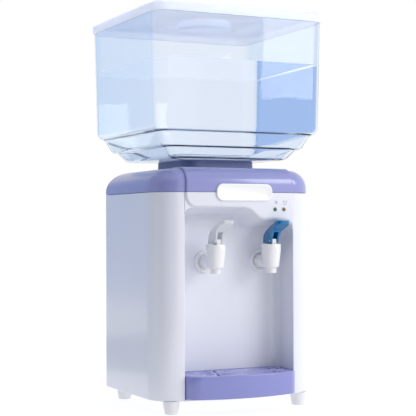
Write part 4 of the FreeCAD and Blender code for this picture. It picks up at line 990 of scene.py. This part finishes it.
def star_of(piece, east, north, count, copies_name):
    """Geometry Nodes: turns a piece about an upright axis into a star, and places the star."""
    tree = bpy.data.node_groups.new(copies_name, "GeometryNodeTree")
    tree.interface.new_socket("Geometry", in_out="INPUT", socket_type="NodeSocketGeometry")
    wanted = {"Count": ("NodeSocketInt", count), "Centre": ("NodeSocketVector", (east, north, 0)),
              "Material": ("NodeSocketMaterial", grille_abs)}
    sockets = {name: tree.interface.new_socket(name, in_out="INPUT", socket_type=kind)
               for name, (kind, _) in wanted.items()}
    tree.interface.new_socket("Geometry", in_out="OUTPUT", socket_type="NodeSocketGeometry")

    def node(kind, label, place, settings=None, links=None):
        made = tree.nodes.new(kind)
        made.label, made.location = label, place
        for key, setting in (settings or {}).items():
            setattr(made, key, setting)
        for key, source in (links or {}).items():
            if hasattr(source, "is_linked"):
                tree.links.new(source, made.inputs[key])
            else:
                made.inputs[key].default_value = source
        return made

    given = node("NodeGroupInput", "given", (-800, 0))
    line = node("GeometryNodePoints", "one point for each slot", (-600, 100),
                links={"Count": given.outputs["Count"]})
    index = node("GeometryNodeInputIndex", "which slot", (-600, -200))
    share = node("ShaderNodeMath", "share of a turn", (-400, -200), {"operation": "DIVIDE"},
                 {0: index.outputs["Index"], 1: given.outputs["Count"]})
    turn = node("ShaderNodeMath", "angle", (-200, -200), {"operation": "MULTIPLY"},
                {0: share.outputs[0], 1: math.tau})
    aim = node("ShaderNodeCombineXYZ", "about the axis", (0, -200), links={"Z": turn.outputs[0]})
    spread = node("GeometryNodeInstanceOnPoints", "place the slots", (0, 100),
                  links={"Points": line.outputs[0], "Instance": given.outputs["Geometry"],
                         "Rotation": aim.outputs[0]})
    whole = node("GeometryNodeRealizeInstances", "make them real", (200, 100),
                 links={"Geometry": spread.outputs[0]})
    moved = node("GeometryNodeTransform", "move to the tap", (400, 100),
                 links={"Geometry": whole.outputs[0], "Translation": given.outputs["Centre"]})
    painted = node("GeometryNodeSetMaterial", "finish", (600, 100),
                   links={"Geometry": moved.outputs[0], "Material": given.outputs["Material"]})
    node("NodeGroupOutput", "result", (800, 100), links={"Geometry": painted.outputs[0]})
    change = piece.modifiers.new(copies_name, "NODES")
    change.node_group = tree
    for name, (_, setting) in wanted.items():
        change[sockets[name].identifier] = setting
    return settle(piece)


grille = stack("drip_grille", [tray_ring(3 * mm, grille_low.z), tray_ring(3 * mm, grille_high.z - 0.5 * mm),
                               tray_ring(3.15 * mm, grille_high.z - 0.15 * mm),
                               tray_ring(3.5 * mm, grille_high.z)])
for side in ("left", "right"):
    tap_x = tap_middle(side)
    boolean(grille, star_of(slot_cutter(f"{side}_slots"), tap_x, tap_y, 10, f"{side}_slot_star"))
    boolean(grille, lathe(f"{side}_drain", [(0, grille_low.z - mm), (3 * mm, grille_low.z - mm),
                                            (3 * mm, grille_high.z - grille_edge),
                                            (3.2 * mm, grille_high.z - 0.25 * mm),
                                            (3 * mm + grille_edge, grille_high.z),
                                            (3 * mm + grille_edge, grille_high.z + mm),
                                            (0, grille_high.z + mm)], tap_x, tap_y, 32))
smooth(grille, 35)
dress(grille, "grille", grille_abs, "lavender_grille", "drip_grille")


# ---- Rear panel ----
# A white plate with rounded corners over the opening behind, with a round grille for the fan, louvres, and
# the holes for the switch and the cord's bush.

panel_low, panel_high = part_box("rear_panel")


def back_ring(inset, north):
    return upright_ring(panel_low, panel_high, inset, 8 * mm - inset, north, 8)


rear = stack("rear_panel", [back_ring(0, panel_low.y), back_ring(0, panel_high.y - 0.5 * mm),
                            back_ring(0.15 * mm, panel_high.y - 0.15 * mm),
                            back_ring(0.5 * mm, panel_high.y)])
windows = []
fan_x, fan_z = 60 * mm, 170 * mm
for i in range(9):
    reach = math.sqrt(1 - (abs(i - 4) / 5.5) ** 2) * 31 * mm
    foot = fan_z - 33 * mm + 8 * mm * i
    for near, far in ((-reach, -3 * mm), (3 * mm, reach)):
        windows.append((fan_x + near, fan_x + far, foot, foot + 4 * mm))
for i in range(7):
    windows.append((-76 * mm, -22 * mm, (128 + 14 * i) * mm, (133 + 14 * i) * mm))
windows.append((-71 * mm, -49 * mm, 70 * mm, 86 * mm))
cutters = [block("window", west, east, panel_low.y - 0.002, panel_high.y + 0.002, low, high)
           for west, east, low, high in windows]
bush_hole = lathe("bush_hole", in_mm([(0, -3), (6, -3), (6, 6), (0, 6)]), 0, 0, 32)
bush_x, bush_z = -60 * mm, 52 * mm
lie_back(bush_hole, bush_x, panel_low.y, bush_z)
for cutter in cutters + [bush_hole]:
    boolean(rear, cutter)
smooth(rear, 35)
dress(rear, "chassis", white_abs, "white_plastic", "rear_panel")


# ---- Pieces carried over from the CAD ----
# The rest sits out of sight, or nearly: only its material is set, by the kind of stuff each piece is made of.

rubber = moulded("rubber", (0.03, 0.03, 0.032), 0.7, grain=0.0003, depth=0.00001)
aluminium = moulded("aluminium", (0.7, 0.71, 0.72), 0.36, depth=0.000004, metallic=1.0)
foam = moulded("grey_foam", (0.2, 0.2, 0.21), 0.85, grain=0.0015, depth=0.0002)
ceramic = moulded("ceramic", (0.82, 0.81, 0.78), 0.5)
dark = moulded("dark_plastic", (0.025, 0.026, 0.03), 0.4)
laminate = moulded("circuit_laminate", (0.02, 0.16, 0.07), 0.35)
red = moulded("switch_red", (0.55, 0.03, 0.02), 0.25)
blue_valve = moulded("valve_blue", (0.06, 0.24, 0.62), 0.3)
tube = clear_plastic("silicone_tube", (0.86, 0.88, 0.9), 0.3, 0.4)
stuff = {
    "base_plate": white_abs, "foot_screws": steel, "rear_screws": steel,
    "indicator_board": laminate, "valve_cap": blue_valve,
    "valve_plunger": blue_valve, "valve_spring": steel,
    "inlet_receiver": seat_plastic, "neck_seal": rubber,
    "cold_reservoir": steel, "foam_left": foam, "foam_right": foam,
    "cold_block": aluminium, "cooling_module": ceramic,
    "heat_sink": aluminium, "fan_frame": dark, "fan_rotor": dark,
    "fan_screws": steel, "ambient_hose": tube, "cold_supply_hose": tube,
    "cold_outlet_hose": tube, "power_board": laminate,
    "transformer": dark, "capacitors": aluminium,
    "board_standoffs": dark, "switch_frame": dark, "switch_rocker": red,
    "cord_gland": rubber,
    "left_lock_nut": tap_white, "right_lock_nut": tap_white,
}
for node, material in stuff.items():
    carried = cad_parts[node]
    carried.data.materials.clear()
    carried.data.materials.append(material)


# ---- Tap springs ----
# Each coil sits between its stem and the bonnet above it. Here it is a fixed copy of the CAD spring on the
# chassis, and it does not squeeze as the stem lifts.

for side in ("left", "right"):
    node = f"{side}_tap_spring"
    coil = bpy.data.objects.new(f"{side}_tap_coil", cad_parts[node].data.copy())
    coil.data.transform(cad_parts[node].matrix_world)
    bpy.context.scene.collection.objects.link(coil)
    dress(coil, "chassis", steel, "steel", node)
    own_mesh(coil)
